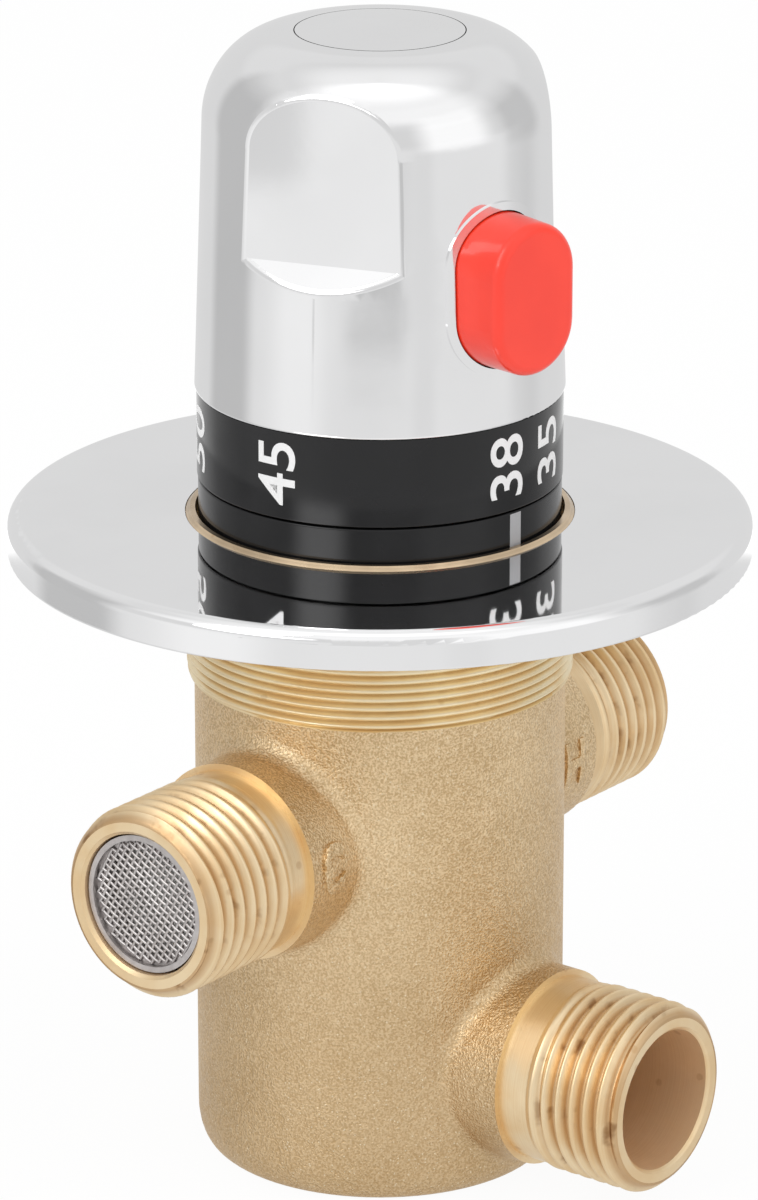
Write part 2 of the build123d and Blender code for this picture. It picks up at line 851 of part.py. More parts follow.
# Cartridge sleeve with three seal grooves, two galleries, their windows and the lower seat
seal_heights = [inlet_height + step * seal_pitch for step in (-1, 0, 1)]
half_land = seal_groove_width / 2 + seal_land
with BuildPart() as cartridge_sleeve:
    turn(
        [
            (sleeve_bore_radius, sleeve_bottom),
            (sleeve_radius, sleeve_bottom),
            (sleeve_radius, chamber_top),
            (sleeve_flange_radius, chamber_top),
            (sleeve_flange_radius, head_seat),
            (sleeve_bore_radius, head_seat),
        ]
    )
    for below, above in zip(seal_heights, seal_heights[1:]):
        with BuildSketch(Plane.XY.offset(below + half_land)):
            Circle(sleeve_radius + 1)
            Circle(gallery_radius, mode=Mode.SUBTRACT)
        extrude(amount=above - below - 2 * half_land, mode=Mode.SUBTRACT)
    for height in seal_heights:
        with BuildSketch(Plane.XY.offset(height - seal_groove_width / 2)):
            Circle(sleeve_radius + 1)
            Circle(chamber_radius - running_clearance - 2 * seal_section, mode=Mode.SUBTRACT)
        extrude(amount=seal_groove_width, mode=Mode.SUBTRACT)
    for window_bottom in (shuttle_bottom + shuttle_gap / 2 - window_height, shuttle_top - shuttle_gap / 2):
        with BuildSketch(Plane.XY.offset(window_bottom)):
            with PolarLocations(sleeve_bore_radius, window_count):
                Rectangle(2 * (sleeve_radius - sleeve_bore_radius), window_width)
        extrude(amount=window_height, mode=Mode.SUBTRACT)
    with BuildSketch(Plane.XY.offset(lower_seat_bottom)):
        Circle(sleeve_bore_radius + running_clearance)
        Circle(seat_radius, mode=Mode.SUBTRACT)
    extrude(amount=lower_seat - lower_seat_bottom)

sleeve_seal_radius = chamber_radius - running_clearance - seal_section
lower_seal, middle_seal, upper_seal = [
    seal_ring(Plane.XY.offset(height), sleeve_seal_radius, seal_section) for height in seal_heights
]

# Shuttle: a ring that opens one seat as it closes the other, with a pierced web
with BuildPart() as shuttle:
    turn(
        [
            (capsule_radius + running_clearance, web_bottom),
            (shuttle_radius - shuttle_wall, web_bottom),
            (shuttle_radius - shuttle_wall, shuttle_bottom),
            (shuttle_radius, shuttle_bottom),
            (shuttle_radius, shuttle_top),
            (shuttle_radius - shuttle_wall, shuttle_top),
            (shuttle_radius - shuttle_wall, web_top),
            (capsule_radius + running_clearance, web_top),
        ]
    )
    with BuildSketch(Plane.XY.offset((web_top + web_bottom - shuttle_groove_width) / 2)):
        Circle(shuttle_radius + 1)
        Circle(sleeve_bore_radius - running_clearance - 2 * shuttle_seal_section, mode=Mode.SUBTRACT)
    extrude(amount=shuttle_groove_width, mode=Mode.SUBTRACT)
    with BuildSketch(Plane.XY.offset(web_bottom)):
        with PolarLocations(shuttle_hole_circle, shuttle_hole_count):
            Circle(shuttle_hole_radius)
    extrude(amount=shuttle_web, mode=Mode.SUBTRACT)

shuttle_seal = seal_ring(
    Plane.XY.offset((web_top + web_bottom) / 2),
    sleeve_bore_radius - running_clearance - shuttle_seal_section,
    shuttle_seal_section,
)

# Wax capsule that hangs in the mixed water, with the neck that guides its piston
with BuildPart() as wax_capsule:
    turn(
        [
            (0, capsule_bottom),
            (capsule_radius, capsule_bottom),
            (capsule_radius, web_top),
            (capsule_flange_radius, web_top),
            (capsule_flange_radius, flange_top),
            (capsule_neck_radius, flange_top),
            (capsule_neck_radius, neck_top),
            (0, neck_top),
        ]
    )
    fillet(wax_capsule.edges().sort_by(Axis.Z)[0], capsule_edge_radius)
    with BuildSketch(Plane.XY.offset(neck_top)):
        Circle(piston_radius + running_clearance)
    extrude(amount=-piston_sunk, mode=Mode.SUBTRACT)

with BuildPart() as wax_piston:
    with BuildSketch(Plane.XY.offset(neck_top - piston_sunk)):
        Circle(piston_radius)
    extrude(amount=cup_bottom + cup_socket_depth - neck_top + piston_sunk)

# Retainer in the foot of the sleeve, which carries the return spring
with BuildPart() as spring_retainer:
    with BuildSketch(Plane.XY.offset(sleeve_bottom)):
        Circle(sleeve_bore_radius)
        Circle(capsule_radius + free_clearance, mode=Mode.SUBTRACT)
        with PolarLocations(retainer_hole_circle, retainer_hole_count):
            Circle(retainer_hole_radius, mode=Mode.SUBTRACT)
    extrude(amount=retainer_thickness)

return_spring = wind_spring(
    Plane.XY.offset(retainer_top),
    return_spring_radius,
    return_spring_wire,
    return_spring_turns,
    web_bottom - retainer_top,
)


def check_housing(frame, direction):
    """Moulded tube with a seat at its outer end and a three-armed guide at its inner end."""
    groove = check_end - check_seal_offset
    with BuildPart() as housing:
        turn_port(
            frame,
            [
                (check_start, check_inner_radius),
                (check_start, check_radius),
                (groove - check_groove_width / 2, check_radius),
                (groove - check_groove_width / 2, check_radius - check_groove_depth),
                (groove + check_groove_width / 2, check_radius - check_groove_depth),
                (groove + check_groove_width / 2, check_radius),
                (check_end, check_radius),
                (check_end, check_seat_radius),
                (check_end - check_seat_thickness, check_seat_radius),
                (check_end - check_seat_thickness, check_inner_radius),
            ],
        )
        with BuildSketch(port_section(direction, inlet_height, check_start)):
            with PolarLocations(0, 3):
                Rectangle(check_inner_radius + seat_clearance, check_arm_width, align=(Align.MIN, Align.CENTER))
        extrude(amount=check_arm_thickness)
        with BuildSketch(port_section(direction, inlet_height, check_start)):
            Circle(check_hub_radius)
        extrude(amount=check_hub_length)
        with BuildSketch(port_section(direction, inlet_height, check_start)):
            Circle(poppet_stem_radius + running_clearance)
        extrude(amount=check_hub_length, mode=Mode.SUBTRACT)
    return housing


def check_poppet(frame):
    """Disc that closes the seat, on a stem that slides in the guide."""
    face = check_end - check_seat_thickness - poppet_gap
    stem_end = inlet_bore_end + poppet_travel + free_clearance
    with BuildPart() as poppet:
        turn_port(
            frame,
            [
                (stem_end, 0),
                (stem_end, poppet_stem_radius),
                (face - poppet_thickness, poppet_stem_radius),
                (face - poppet_thickness, poppet_radius),
                (face, poppet_radius),
                (face, 0),
            ],
        )
    return poppet


def check_spring(direction):
    """Light spring between the guide's arms and the back of the poppet."""
    foot = check_start + check_arm_thickness
    head = check_end - check_seat_thickness - poppet_gap - poppet_thickness
    base = port_section(direction, inlet_height, foot)
    return wind_spring(base, check_spring_radius, check_spring_wire, check_spring_turns, head - foot)


def strainer_rim(frame):
    """Rolled steel ring whose inner lip carries the mesh."""
    lip = mesh_back - strainer_lip_thickness
    with BuildPart() as rim:
        turn_port(
            frame,
            [
                (check_end, strainer_radius - strainer_wall),
                (check_end, strainer_radius),
                (strainer_face, strainer_radius),
                (strainer_face, strainer_radius - strainer_wall),
                (mesh_back, strainer_radius - strainer_wall),
                (mesh_back, strainer_radius - strainer_wall - strainer_lip_width),
                (lip, strainer_radius - strainer_wall - strainer_lip_width),
                (lip, strainer_radius - strainer_wall),
            ],
        )
    return rim


def strainer_mesh(direction):
    """Mesh disc, with square openings wherever a whole one fits inside the lip."""
    mesh_radius = strainer_radius - strainer_wall
    open_radius = mesh_radius - strainer_lip_width
    opening = mesh_pitch - mesh_bar
    across = int(open_radius / mesh_pitch)
    steps = [mesh_pitch * step for step in range(-across, across + 1)]
    corner = opening / 2
    spots = [(x, y) for x in steps for y in steps if (abs(x) + corner) ** 2 + (abs(y) + corner) ** 2 < open_radius**2]
    with BuildPart() as mesh:
        with BuildSketch(port_section(direction, inlet_height, mesh_back)):
            Circle(mesh_radius)
            with Locations(*spots):
                Rectangle(opening, opening, mode=Mode.SUBTRACT)
        extrude(amount=mesh_thickness)
    return mesh


pieces = {
    "valve_body": valve_body,
    "wall_plate": wall_plate,
    "index_ring": index_ring,
    "scale_ring": scale_ring,
    "knob_shell": knob_shell,
    "knob_cap": knob_cap,
    "knob_screw": knob_screw,
    "override_button": override_button,
    "button_spring": button_spring,
    "cartridge_head": cartridge_head,
    "stop_ring": stop_ring,
    "spindle": spindle,
    "spindle_clip": spindle_clip,
    "spindle_seal": spindle_seal,
    "adjuster_nut": adjuster_nut,
    "overload_clip": overload_clip,
    "overload_cup": overload_cup,
    "overload_spring": overload_spring,
    "cartridge_sleeve": cartridge_sleeve,
    "lower_seal": lower_seal,
    "middle_seal": middle_seal,
    "upper_seal": upper_seal,
    "shuttle": shuttle,
    "shuttle_seal": shuttle_seal,
    "wax_capsule": wax_capsule,
    "wax_piston": wax_piston,
    "spring_retainer": spring_retainer,
    "return_spring": return_spring,
}

# Each inlet holds a check valve of its own behind a strainer
for side, direction, frame in (("cold", cold, cold_frame), ("hot", hot, hot_frame)):
    seal_plane = port_section(direction, inlet_height, check_end - check_seal_offset)
    pieces[f"{side}_check_housing"] = check_housing(frame, direction)
    pieces[f"{side}_check_seal"] = seal_ring(
        seal_plane, port_bore_radius - running_clearance - check_seal_section, check_seal_section
    )
    pieces[f"{side}_check_poppet"] = check_poppet(frame)
    pieces[f"{side}_check_spring"] = check_spring(direction)
    pieces[f"{side}_strainer_rim"] = strainer_rim(frame)
    pieces[f"{side}_strainer_mesh"] = strainer_mesh(direction)

for name, piece in pieces.items():
    piece.part.label = name
    export_step(piece.part, f"parts/{name}.step")
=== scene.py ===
"""Finished look of a thermostatic shower mixer: cast brass body, chrome plate and knob, red button.

Lengths are written in millimetres and turned to metres by MM. Z is the knob's axis, the cold inlet
points to -X, the hot inlet to +X and the mixed outlet to -Y.
"""

import logging
from dataclasses import dataclass, field
from enum import Enum
from math import cos, hypot, pi, radians, sin, sqrt
from typing import Callable

import bmesh
import bpy
from mathutils import Matrix, Vector, noise

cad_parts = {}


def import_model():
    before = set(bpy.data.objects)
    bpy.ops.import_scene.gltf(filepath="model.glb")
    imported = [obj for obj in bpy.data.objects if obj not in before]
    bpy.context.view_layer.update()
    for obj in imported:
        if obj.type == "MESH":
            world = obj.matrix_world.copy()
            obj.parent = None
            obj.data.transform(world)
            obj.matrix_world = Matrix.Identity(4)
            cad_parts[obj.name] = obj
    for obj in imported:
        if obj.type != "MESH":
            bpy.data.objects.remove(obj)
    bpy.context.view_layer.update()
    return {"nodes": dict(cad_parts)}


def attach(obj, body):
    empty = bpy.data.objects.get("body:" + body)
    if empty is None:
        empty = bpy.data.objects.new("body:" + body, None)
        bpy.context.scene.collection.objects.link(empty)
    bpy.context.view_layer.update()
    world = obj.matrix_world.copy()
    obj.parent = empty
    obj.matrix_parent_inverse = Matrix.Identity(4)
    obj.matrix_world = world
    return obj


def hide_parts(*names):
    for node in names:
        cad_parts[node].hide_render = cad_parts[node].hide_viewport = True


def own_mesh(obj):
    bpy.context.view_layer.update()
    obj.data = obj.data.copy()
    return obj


MM = 0.001
INLET_HEIGHT = 39.95
OUTLET_HEIGHT = 13.85
BOSS_RADIUS = 10.9
LOG = logging.getLogger("mixer")
Color = tuple[float, float, float]
Tree = bpy.types.NodeTree
Node = bpy.types.Node
Socket = bpy.types.NodeSocket
Material = bpy.types.Material
Piece = bpy.types.Object
Shape = bmesh.types.BMesh
MeshData = bpy.types.Mesh


class PortSide(Enum):
    """The three ports, each with its direction as an angle about the knob's axis."""

    COLD = 180.0
    HOT = 0.0
    MIXED = -90.0


class TurnAxis(Enum):
    """Axis about which a piece was turned, which its fine tool lines go round."""

    X = (1.0, 0.0, 0.0)
    Y = (0.0, 1.0, 0.0)
    Z = (0.0, 0.0, 1.0)


# Node trees


class NodeSheet:
    """Adds and joins the nodes of one tree."""

    def __init__(self, tree: Tree) -> None:
        """Take the tree to work in.

        Args:
            tree: node tree of a material, a world or a group.
        """
        self.tree = tree

    def add(self, kind: str, settings: dict | None = None, **inputs: object) -> Node:
        """Add a node, set it up and feed its inputs.

        Args:
            kind: Blender's name of the node type.
            settings: attributes of the node itself.
            inputs: values or sockets by input name, with _ for a space.

        Returns:
            The new node.
        """
        node = self.tree.nodes.new(kind)
        for name, value in (settings or {}).items():
            setattr(node, name, value)
        for name, value in inputs.items():
            self.feed(node.inputs[name.replace("_", " ")], value)
        return node

    def feed(self, socket: Socket, value: object) -> None:
        """Join a socket to another one, or set its value.

        Args:
            socket: input that is fed.
            value: output socket, number or colour.
        """
        if isinstance(value, Socket):
            self.tree.links.new(value, socket)
        else:
            socket.default_value = value

    def place(self) -> Socket:
        """Place of a point in the shared frame, in metres."""
        return self.add("ShaderNodeTexCoord").outputs["Object"]

    def math(self, operation: str, *values: object) -> Socket:
        """Add a math node.

        Args:
            operation: name of the operation.
            values: one to three values or sockets.

        Returns:
            The result's socket.
        """
        return self.operate("ShaderNodeMath", operation, *values).outputs[0]

    def vector(self, operation: str, *values: object) -> Node:
        """Add a vector math node, as math does."""
        return self.operate("ShaderNodeVectorMath", operation, *values)

    def operate(self, kind: str, operation: str, *values: object) -> Node:
        """Add a node of an operation and feed its inputs in order."""
        node = self.add(kind, {"operation": operation})
        for socket, value in zip(node.inputs, values):
            self.feed(socket, value)
        return node

    def mix(self, share: object, first: object, second: object) -> Socket:
        """Mix two colours.

        Args:
            share: share of the second colour, 0 to 1.
            first: colour or socket.
            second: colour or socket.

        Returns:
            The mixed colour's socket.
        """
        node = self.add("ShaderNodeMix", {"data_type": "RGBA"})
        self.feed(node.inputs[0], share)
        self.feed(node.inputs[6], opaque(first))
        self.feed(node.inputs[7], opaque(second))
        return node.outputs[2]

    def tint(self, body: Socket, mask: Socket, strength: object, color: Color) -> Socket:
        """Lay a colour over another one where a mask lets it through.

        Args:
            body: colour below.
            mask: where the new colour lies, 0 to 1.
            strength: share of the new colour where the mask is full, value or socket.
            color: the new colour.

        Returns:
            The tinted colour's socket.
        """
        return self.mix(self.math("MULTIPLY", mask, strength), body, color)

    def ramp(
        self, value: object, low: object, high: object, to_low: float = 0.0, to_high: float = 1.0
    ) -> Socket:
        """Map a range of values smoothly to another.

        Args:
            value: value or socket.
            low: start of the range.
            high: end of the range.
            to_low: result at the start.
            to_high: result at the end.

        Returns:
            The result's socket.
        """
        node = self.add("ShaderNodeMapRange", {"interpolation_type": "SMOOTHSTEP"})
        for name, item in (("Value", value), ("From Min", low), ("From Max", high)):
            self.feed(node.inputs[name], item)
        node.inputs["To Min"].default_value = to_low
        node.inputs["To Max"].default_value = to_high
        return node.outputs[0]


def opaque(value: object) -> object:
    """Give a plain RGB colour its fourth value and pass a socket on."""
    return (*value, 1.0) if isinstance(value, tuple) and len(value) == 3 else value


def new_group(name: str, inputs: dict[str, float]) -> tuple[NodeSheet, dict[str, Socket], Socket]:
    """Start a shader node group with float inputs and one float output.

    Args:
        name: name of the group.
        inputs: default value of each input.

    Returns:
        The sheet of the group, its input sockets by name, and the socket that takes the result.
    """
    tree = bpy.data.node_groups.new(name, "ShaderNodeTree")
    for label, default in inputs.items():
        socket = tree.interface.new_socket(name=label, in_out="INPUT", socket_type="NodeSocketFloat")
        socket.default_value = default
    tree.interface.new_socket(name="Value", in_out="OUTPUT", socket_type="NodeSocketFloat")
    sheet = NodeSheet(tree)
    start = sheet.add("NodeGroupInput")
    end = sheet.add("NodeGroupOutput")
    return sheet, {label: start.outputs[label] for label in inputs}, end.inputs["Value"]


class SharedEffects:
    """Node groups that several finishes use, each built once."""

    def __init__(self) -> None:
        """Build the groups."""
        self.grain = self.build_grain()
        self.specks = self.build_specks()
        self.tool_lines = self.build_tool_lines()

    def build_grain(self) -> Tree:
        """Cloudy grain of any size, from 0 to 1."""
        sheet, sockets, result = new_group("grain", {"Scale": 1000.0, "Detail": 2.0, "Low": 0.3, "High": 0.7})
        size = {"Scale": sockets["Scale"], "Detail": sockets["Detail"]}
        cloud = sheet.add("ShaderNodeTexNoise", Vector=sheet.place(), **size)
        sheet.feed(result, sheet.ramp(cloud.outputs["Fac"], sockets["Low"], sockets["High"]))
        return sheet.tree

    def build_specks(self) -> Tree:
        """Scattered round specks, 1 inside a speck and 0 elsewhere."""
        sheet, sockets, result = new_group("specks", {"Scale": 300.0, "Size": 0.2, "Share": 0.2})
        cells = sheet.add("ShaderNodeTexVoronoi", Vector=sheet.place(), Scale=sockets["Scale"])
        draw = sheet.add("ShaderNodeSeparateColor", Color=cells.outputs["Color"]).outputs[0]
        chosen = sheet.math("LESS_THAN", draw, sockets["Share"])
        half = sheet.math("MULTIPLY", sockets["Size"], 0.5)
        spot = sheet.ramp(cells.outputs["Distance"], half, sockets["Size"], 1.0, 0.0)
        sheet.feed(result, sheet.math("MULTIPLY", spot, chosen))
        return sheet.tree

    def build_tool_lines(self) -> Tree:
        """Fine lines that a lathe leaves round an axis, from 0 to 1."""
        sheet, sockets, result = new_group("tool lines", {"X": 0.0, "Y": 0.0, "Z": 1.0, "Scale": 5000.0})
        place = sheet.place()
        axis = sheet.add("ShaderNodeCombineXYZ", X=sockets["X"], Y=sockets["Y"], Z=sockets["Z"]).outputs[0]
        along = sheet.vector("DOT_PRODUCT", place, axis).outputs["Value"]
        wobble = sheet.add("ShaderNodeTexNoise", Vector=place, Scale=120.0, Detail=1.0).outputs["Fac"]
        shifted = sheet.math("MULTIPLY_ADD", wobble, 0.2 * MM, along)
        flat = {"noise_dimensions": "1D"}
        lines = sheet.add("ShaderNodeTexNoise", flat, W=shifted, Scale=sockets["Scale"], Detail=2.0)
        sheet.feed(result, sheet.ramp(lines.outputs["Fac"], 0.3, 0.7))
        return sheet.tree


class Finish(NodeSheet):
    """A material under construction, with its Principled shader."""

    def __init__(self, name: str, effects: SharedEffects) -> None:
        """Start a material.

        Args:
            name: name of the material.
            effects: the shared node groups.
        """
        self.material = bpy.data.materials.new(name)
        self.material.use_nodes = True
        super().__init__(self.material.node_tree)
        self.shader = self.tree.nodes["Principled BSDF"]
        self.effects = effects

    def set(self, **inputs: object) -> None:
        """Set or feed the shader's inputs by name, with _ for a space."""
        for name, value in inputs.items():
            self.feed(self.shader.inputs[name.replace("_", " ")], opaque(value))

    def effect(self, tree: Tree, **inputs: float) -> Socket:
        """Place a shared effect with its own values and return its value."""
        return self.add("ShaderNodeGroup", {"node_tree": tree}, **inputs).outputs[0]

    def grain(self, scale: float, detail: float = 2.0, low: float = 0.3, high: float = 0.7) -> Socket:
        """Place the grain effect and return its value."""
        return self.effect(self.effects.grain, Scale=scale, Detail=detail, Low=low, High=high)

    def specks(self, scale: float, size: float, share: float) -> Socket:
        """Place the specks effect and return its value."""
        return self.effect(self.effects.specks, Scale=scale, Size=size, Share=share)

    def lines(self, axis: TurnAxis, scale: float) -> Socket:
        """Place the tool lines effect and return its value."""
        x, y, z = axis.value
        return self.effect(self.effects.tool_lines, X=x, Y=y, Z=z, Scale=scale)

    def blend(self, first: Socket, share: float, second: Socket) -> Socket:
        """Weigh two masks against each other, with the first one's share given."""
        rest = self.math("MULTIPLY", second, 1.0 - share)
        return self.math("MULTIPLY_ADD", first, share, rest)

    def roughen(self, mask: Socket, low: float, high: float) -> None:
        """Let the roughness run from low to high as a mask goes from 0 to 1."""
        self.set(Roughness=self.ramp(mask, 0.0, 1.0, low, high))

    def relief(self, *layers: tuple[Socket, float, float]) -> None:
        """Feed the shader's normal from one or more bump layers.

        Args:
            layers: height socket, strength and depth in millimetres of each layer.
        """
        normal = None
        for height, strength, depth in layers:
            node = self.add("ShaderNodeBump", Height=height, Strength=strength, Distance=depth * MM)
            if normal is not None:
                self.feed(node.inputs["Normal"], normal)
            normal = node.outputs[0]
        self.feed(self.shader.inputs["Normal"], normal)


# Finishes


@dataclass(frozen=True)
class CastBrass:
    """Sand-cast brass skin with lighter specks painted as glints, darker patches and painted shade that
    darkens it towards the foot.
    """

    light: Color = (0.95, 0.74, 0.47)
    dark: Color = (0.60, 0.42, 0.22)
    # Dark brown of the painted shade that darkens the casting towards its foot.
    painted_foot_shade: Color = (0.42, 0.25, 0.10)
    # Light colour of scattered specks painted as glints.
    painted_glint: Color = (1.0, 0.88, 0.66)
    fine_scale: float = 4200.0
    middle_scale: float = 1500.0
    patch_scale: float = 90.0
    glint_scale: float = 3600.0
    # Height in millimetres at which the painted foot shade has faded out.
    foot_shade_height: float = 50.0

    def material(self, effects: SharedEffects) -> Material:
        """Build the material."""
        finish = Finish("cast brass", effects)
        fine = finish.grain(self.fine_scale, 1.0)
        middle = finish.grain(self.middle_scale)
        patches = finish.grain(self.patch_scale, 3.0)
        # Painted glints: light specks tinted into the base colour.
        painted_glints = finish.specks(self.glint_scale, 0.42, 0.1)
        body = finish.mix(finish.blend(patches, 0.25, fine), self.dark, self.light)
        # Painted shade: the colour runs towards the dark brown near the floor and fades out higher up.
        height = finish.add("ShaderNodeSeparateXYZ", Vector=finish.place()).outputs["Z"]
        body = finish.mix(finish.ramp(height, 0.0, self.foot_shade_height * MM, 0.36, 0.0), body, self.painted_foot_shade)
        finish.set(Base_Color=finish.tint(body, painted_glints, 0.6, self.painted_glint), Metallic=1.0)
        finish.roughen(middle, 0.5, 0.36)
        finish.relief((patches, 0.3, 0.2), (middle, 0.5, 0.06), (fine, 0.9, 0.05))
        return finish.material


@dataclass(frozen=True)
class MachinedBrass:
    """Turned brass with fine tool lines, small stains and soft spots.

    A thread's finish also has the height of its axis and its root and crest radii, in millimetres.
    """

    name: str
    axis: TurnAxis
    light: Color = (0.95, 0.77, 0.51)
    dark: Color = (0.84, 0.61, 0.34)
    groove: Color = (0.52, 0.29, 0.12)
    stain: Color = (0.33, 0.17, 0.07)
    roughness: float = 0.4
    height: float = 0.0
    root: float = 0.0
    crest: float = 0.0
    tint: float = 0.6
    dirt: float = 0.85
    metallic: float = 1.0
    line_scale: float = 5200.0
    patch_scale: float = 160.0
    spot_scale: float = 520.0
    dirt_scale: float = 330.0

    def material(self, effects: SharedEffects) -> Material:
        """Build the material."""
        finish = Finish(self.name, effects)
        lines = finish.lines(self.axis, self.line_scale)
        patches = finish.grain(self.patch_scale, 3.0)
        body = finish.mix(finish.blend(lines, 0.35, patches), self.dark, self.light)
        body = finish.tint(body, finish.specks(self.spot_scale, 0.3, 0.1), 0.35, self.groove)
        if self.crest:
            body = self.tint_groove(finish, body)
        finish.set(Base_Color=body, Metallic=self.metallic)
        finish.roughen(patches, self.roughness + 0.09, self.roughness - 0.04)
        finish.relief((lines, 0.35, 0.012), (patches, 0.25, 0.05))
        return finish.material

    def tint_groove(self, finish: Finish, body: Socket) -> Socket:
        """Darken the thread's grooves and leave brown dirt in places.

        Args:
            finish: the material under construction.
            body: colour of the clean metal.

        Returns:
            The tinted colour's socket.
        """
        spot = finish.vector("SUBTRACT", finish.place(), (0.0, 0.0, self.height * MM)).outputs[0]
        across = finish.vector("CROSS_PRODUCT", spot, self.axis.value).outputs[0]
        radius = finish.vector("LENGTH", across).outputs["Value"]
        depth = finish.ramp(radius, self.root * MM, self.crest * MM, 1.0, 0.0)
        body = finish.tint(body, depth, self.tint, self.groove)
        clumps = finish.grain(self.dirt_scale, 3.0, 0.56, 0.72)
        dirt = finish.math("MULTIPLY", clumps, finish.math("POWER", depth, 0.5))
        return finish.tint(body, dirt, self.dirt, self.stain)


@dataclass(frozen=True)
class Chrome:
    """Polished chrome plating with faint waves and wiped smudges."""

    name: str = "chrome"
    color: Color = (0.90, 0.90, 0.905)
    roughness: float = 0.035
    dulling: float = 0.975

    def material(self, effects: SharedEffects) -> Material:
        """Build the material."""
        finish = Finish(self.name, effects)
        smudge = finish.grain(70.0, 3.0, 0.35)
        haze = finish.grain(900.0)
        dulled = tuple(value * self.dulling for value in self.color)
        finish.set(Base_Color=finish.mix(smudge, self.color, dulled), Metallic=1.0)
        finish.roughen(smudge, self.roughness, self.roughness + 0.02)
        finish.relief((smudge, 0.03, 0.03), (haze, 0.02, 0.003))
        return finish.material


@dataclass(frozen=True)
class Moulded:
    """Moulded plastic, rubber or print with fine texture and handling marks."""

    name: str
    color: Color
    worn: Color
    roughness: float
    coat: float = 0.0
    texture_depth: float = 0.006
    specular: float = 0.5

    def material(self, effects: SharedEffects) -> Material:
        """Build the material."""
        finish = Finish(self.name, effects)
        marks = finish.grain(110.0, 3.0, 0.35, 0.75)
        texture = finish.grain(2600.0)
        finish.set(Base_Color=finish.mix(marks, self.color, self.worn))
        finish.roughen(marks, self.roughness, self.roughness + 0.07)
        finish.set(Coat_Weight=self.coat, Coat_Roughness=0.06, Specular_IOR_Level=self.specular)
        finish.relief((marks, 0.12, 0.03), (texture, 0.3, self.texture_depth))
        return finish.material


@dataclass(frozen=True)
class BareMetal:
    """Satin or bright metal with fine brushed haze and darker patches."""

    name: str
    light: Color
    dark: Color
    roughness: float

    def material(self, effects: SharedEffects) -> Material:
        """Build the material."""
        finish = Finish(self.name, effects)
        haze = finish.grain(1400.0)
        patches = finish.grain(200.0)
        body = finish.mix(finish.blend(haze, 0.4, patches), self.dark, self.light)
        finish.set(Base_Color=body, Metallic=1.0)
        finish.roughen(patches, self.roughness + 0.06, self.roughness - 0.03)
        finish.relief((haze, 0.25, 0.01))
        return finish.material


class FinishSet:
    """All finishes of the mixer, built once."""

    def __init__(self) -> None:
        """Build every material."""
        effects = SharedEffects()
        port_thread = {"root": 9.45, "crest": 10.25}
        looks = {
            "cast": CastBrass(),
            "turned_x": MachinedBrass("turned brass along x", TurnAxis.X),
            "turned_y": MachinedBrass("turned brass along y", TurnAxis.Y),
            "turned_z": MachinedBrass("turned brass along z", TurnAxis.Z),
            "bored": MachinedBrass(
                "bored brass", TurnAxis.Y, (0.93, 0.70, 0.45), (0.82, 0.57, 0.33), roughness=0.5, metallic=0.6
            ),
            # Darker copy of the turned brass for the collar's top lip: painted shade.
            "lip": MachinedBrass(
                "collar lip brass", TurnAxis.Z, (0.80, 0.62, 0.42), (0.46, 0.35, 0.23), roughness=0.2
            ),
            "thread_x": MachinedBrass("inlet thread brass", TurnAxis.X, height=INLET_HEIGHT, **port_thread),
            "thread_y": MachinedBrass("outlet thread brass", TurnAxis.Y, height=OUTLET_HEIGHT, **port_thread),
            "thread_z": MachinedBrass(
                "collar thread brass", TurnAxis.Z, (1.0, 0.88, 0.62), (0.96, 0.76, 0.46), (0.64, 0.44, 0.22),
                roughness=0.36, root=20.4, crest=20.8, dirt=0.1,
            ),
            "chrome": Chrome(),
            "plate": Chrome("plate chrome", (0.92, 0.92, 0.925), 0.03),
            "black": Moulded(
                "black plastic", (0.006, 0.006, 0.0065), (0.011, 0.011, 0.012), 0.13, 0.0, 0.0006, 0.34
            ),
            "red": Moulded("red plastic", (0.95, 0.042, 0.016), (0.90, 0.036, 0.014), 0.3, 0.35, 0.002),
            "white": Moulded("white plastic", (0.80, 0.80, 0.77), (0.74, 0.74, 0.71), 0.45),
            "print": Moulded("white print", (0.87, 0.87, 0.87), (0.80, 0.80, 0.80), 0.5),
            "mark": Moulded("grey print", (0.42, 0.42, 0.43), (0.37, 0.37, 0.38), 0.5),
            "rubber": Moulded("black rubber", (0.02, 0.02, 0.02), (0.032, 0.032, 0.032), 0.6),
            "steel": BareMetal("bright steel", (0.66, 0.66, 0.67), (0.5, 0.5, 0.51), 0.25),
            "strainer": BareMetal("strainer steel", (0.66, 0.63, 0.62), (0.48, 0.45, 0.44), 0.4),
            "copper": BareMetal("copper", (0.85, 0.50, 0.34), (0.68, 0.34, 0.2), 0.3),
        }
        self.materials = {name: look.material(effects) for name, look in looks.items()}

    def __getitem__(self, name: str) -> Material:
        """Give the material of a finish."""
        return self.materials[name]


# Mesh helpers


def add_object(name: str, data: bpy.types.ID) -> Piece:
    """Make an object and put it in the scene."""
    item = bpy.data.objects.new(name, data)
    bpy.context.scene.collection.objects.link(item)
    return item


def port_matrix(side: PortSide, height: float) -> Matrix:
    """Place of a port: local Z points out along the port, local Y is up, from the knob's axis.

    Args:
        side: which port.
        height: height of the port's axis in millimetres.

    Returns:
        The matrix from the port's own frame.
    """
    turn = radians(side.value)
    out = Vector((cos(turn), sin(turn), 0.0))
    up = Vector((0.0, 0.0, 1.0))
    across = up.cross(out)
    rows = [(across[i], up[i], out[i], 0.0) for i in range(3)]
    matrix = Matrix((*rows, (0.0, 0.0, 0.0, 1.0)))
    return Matrix.Translation((0.0, 0.0, height * MM)) @ matrix


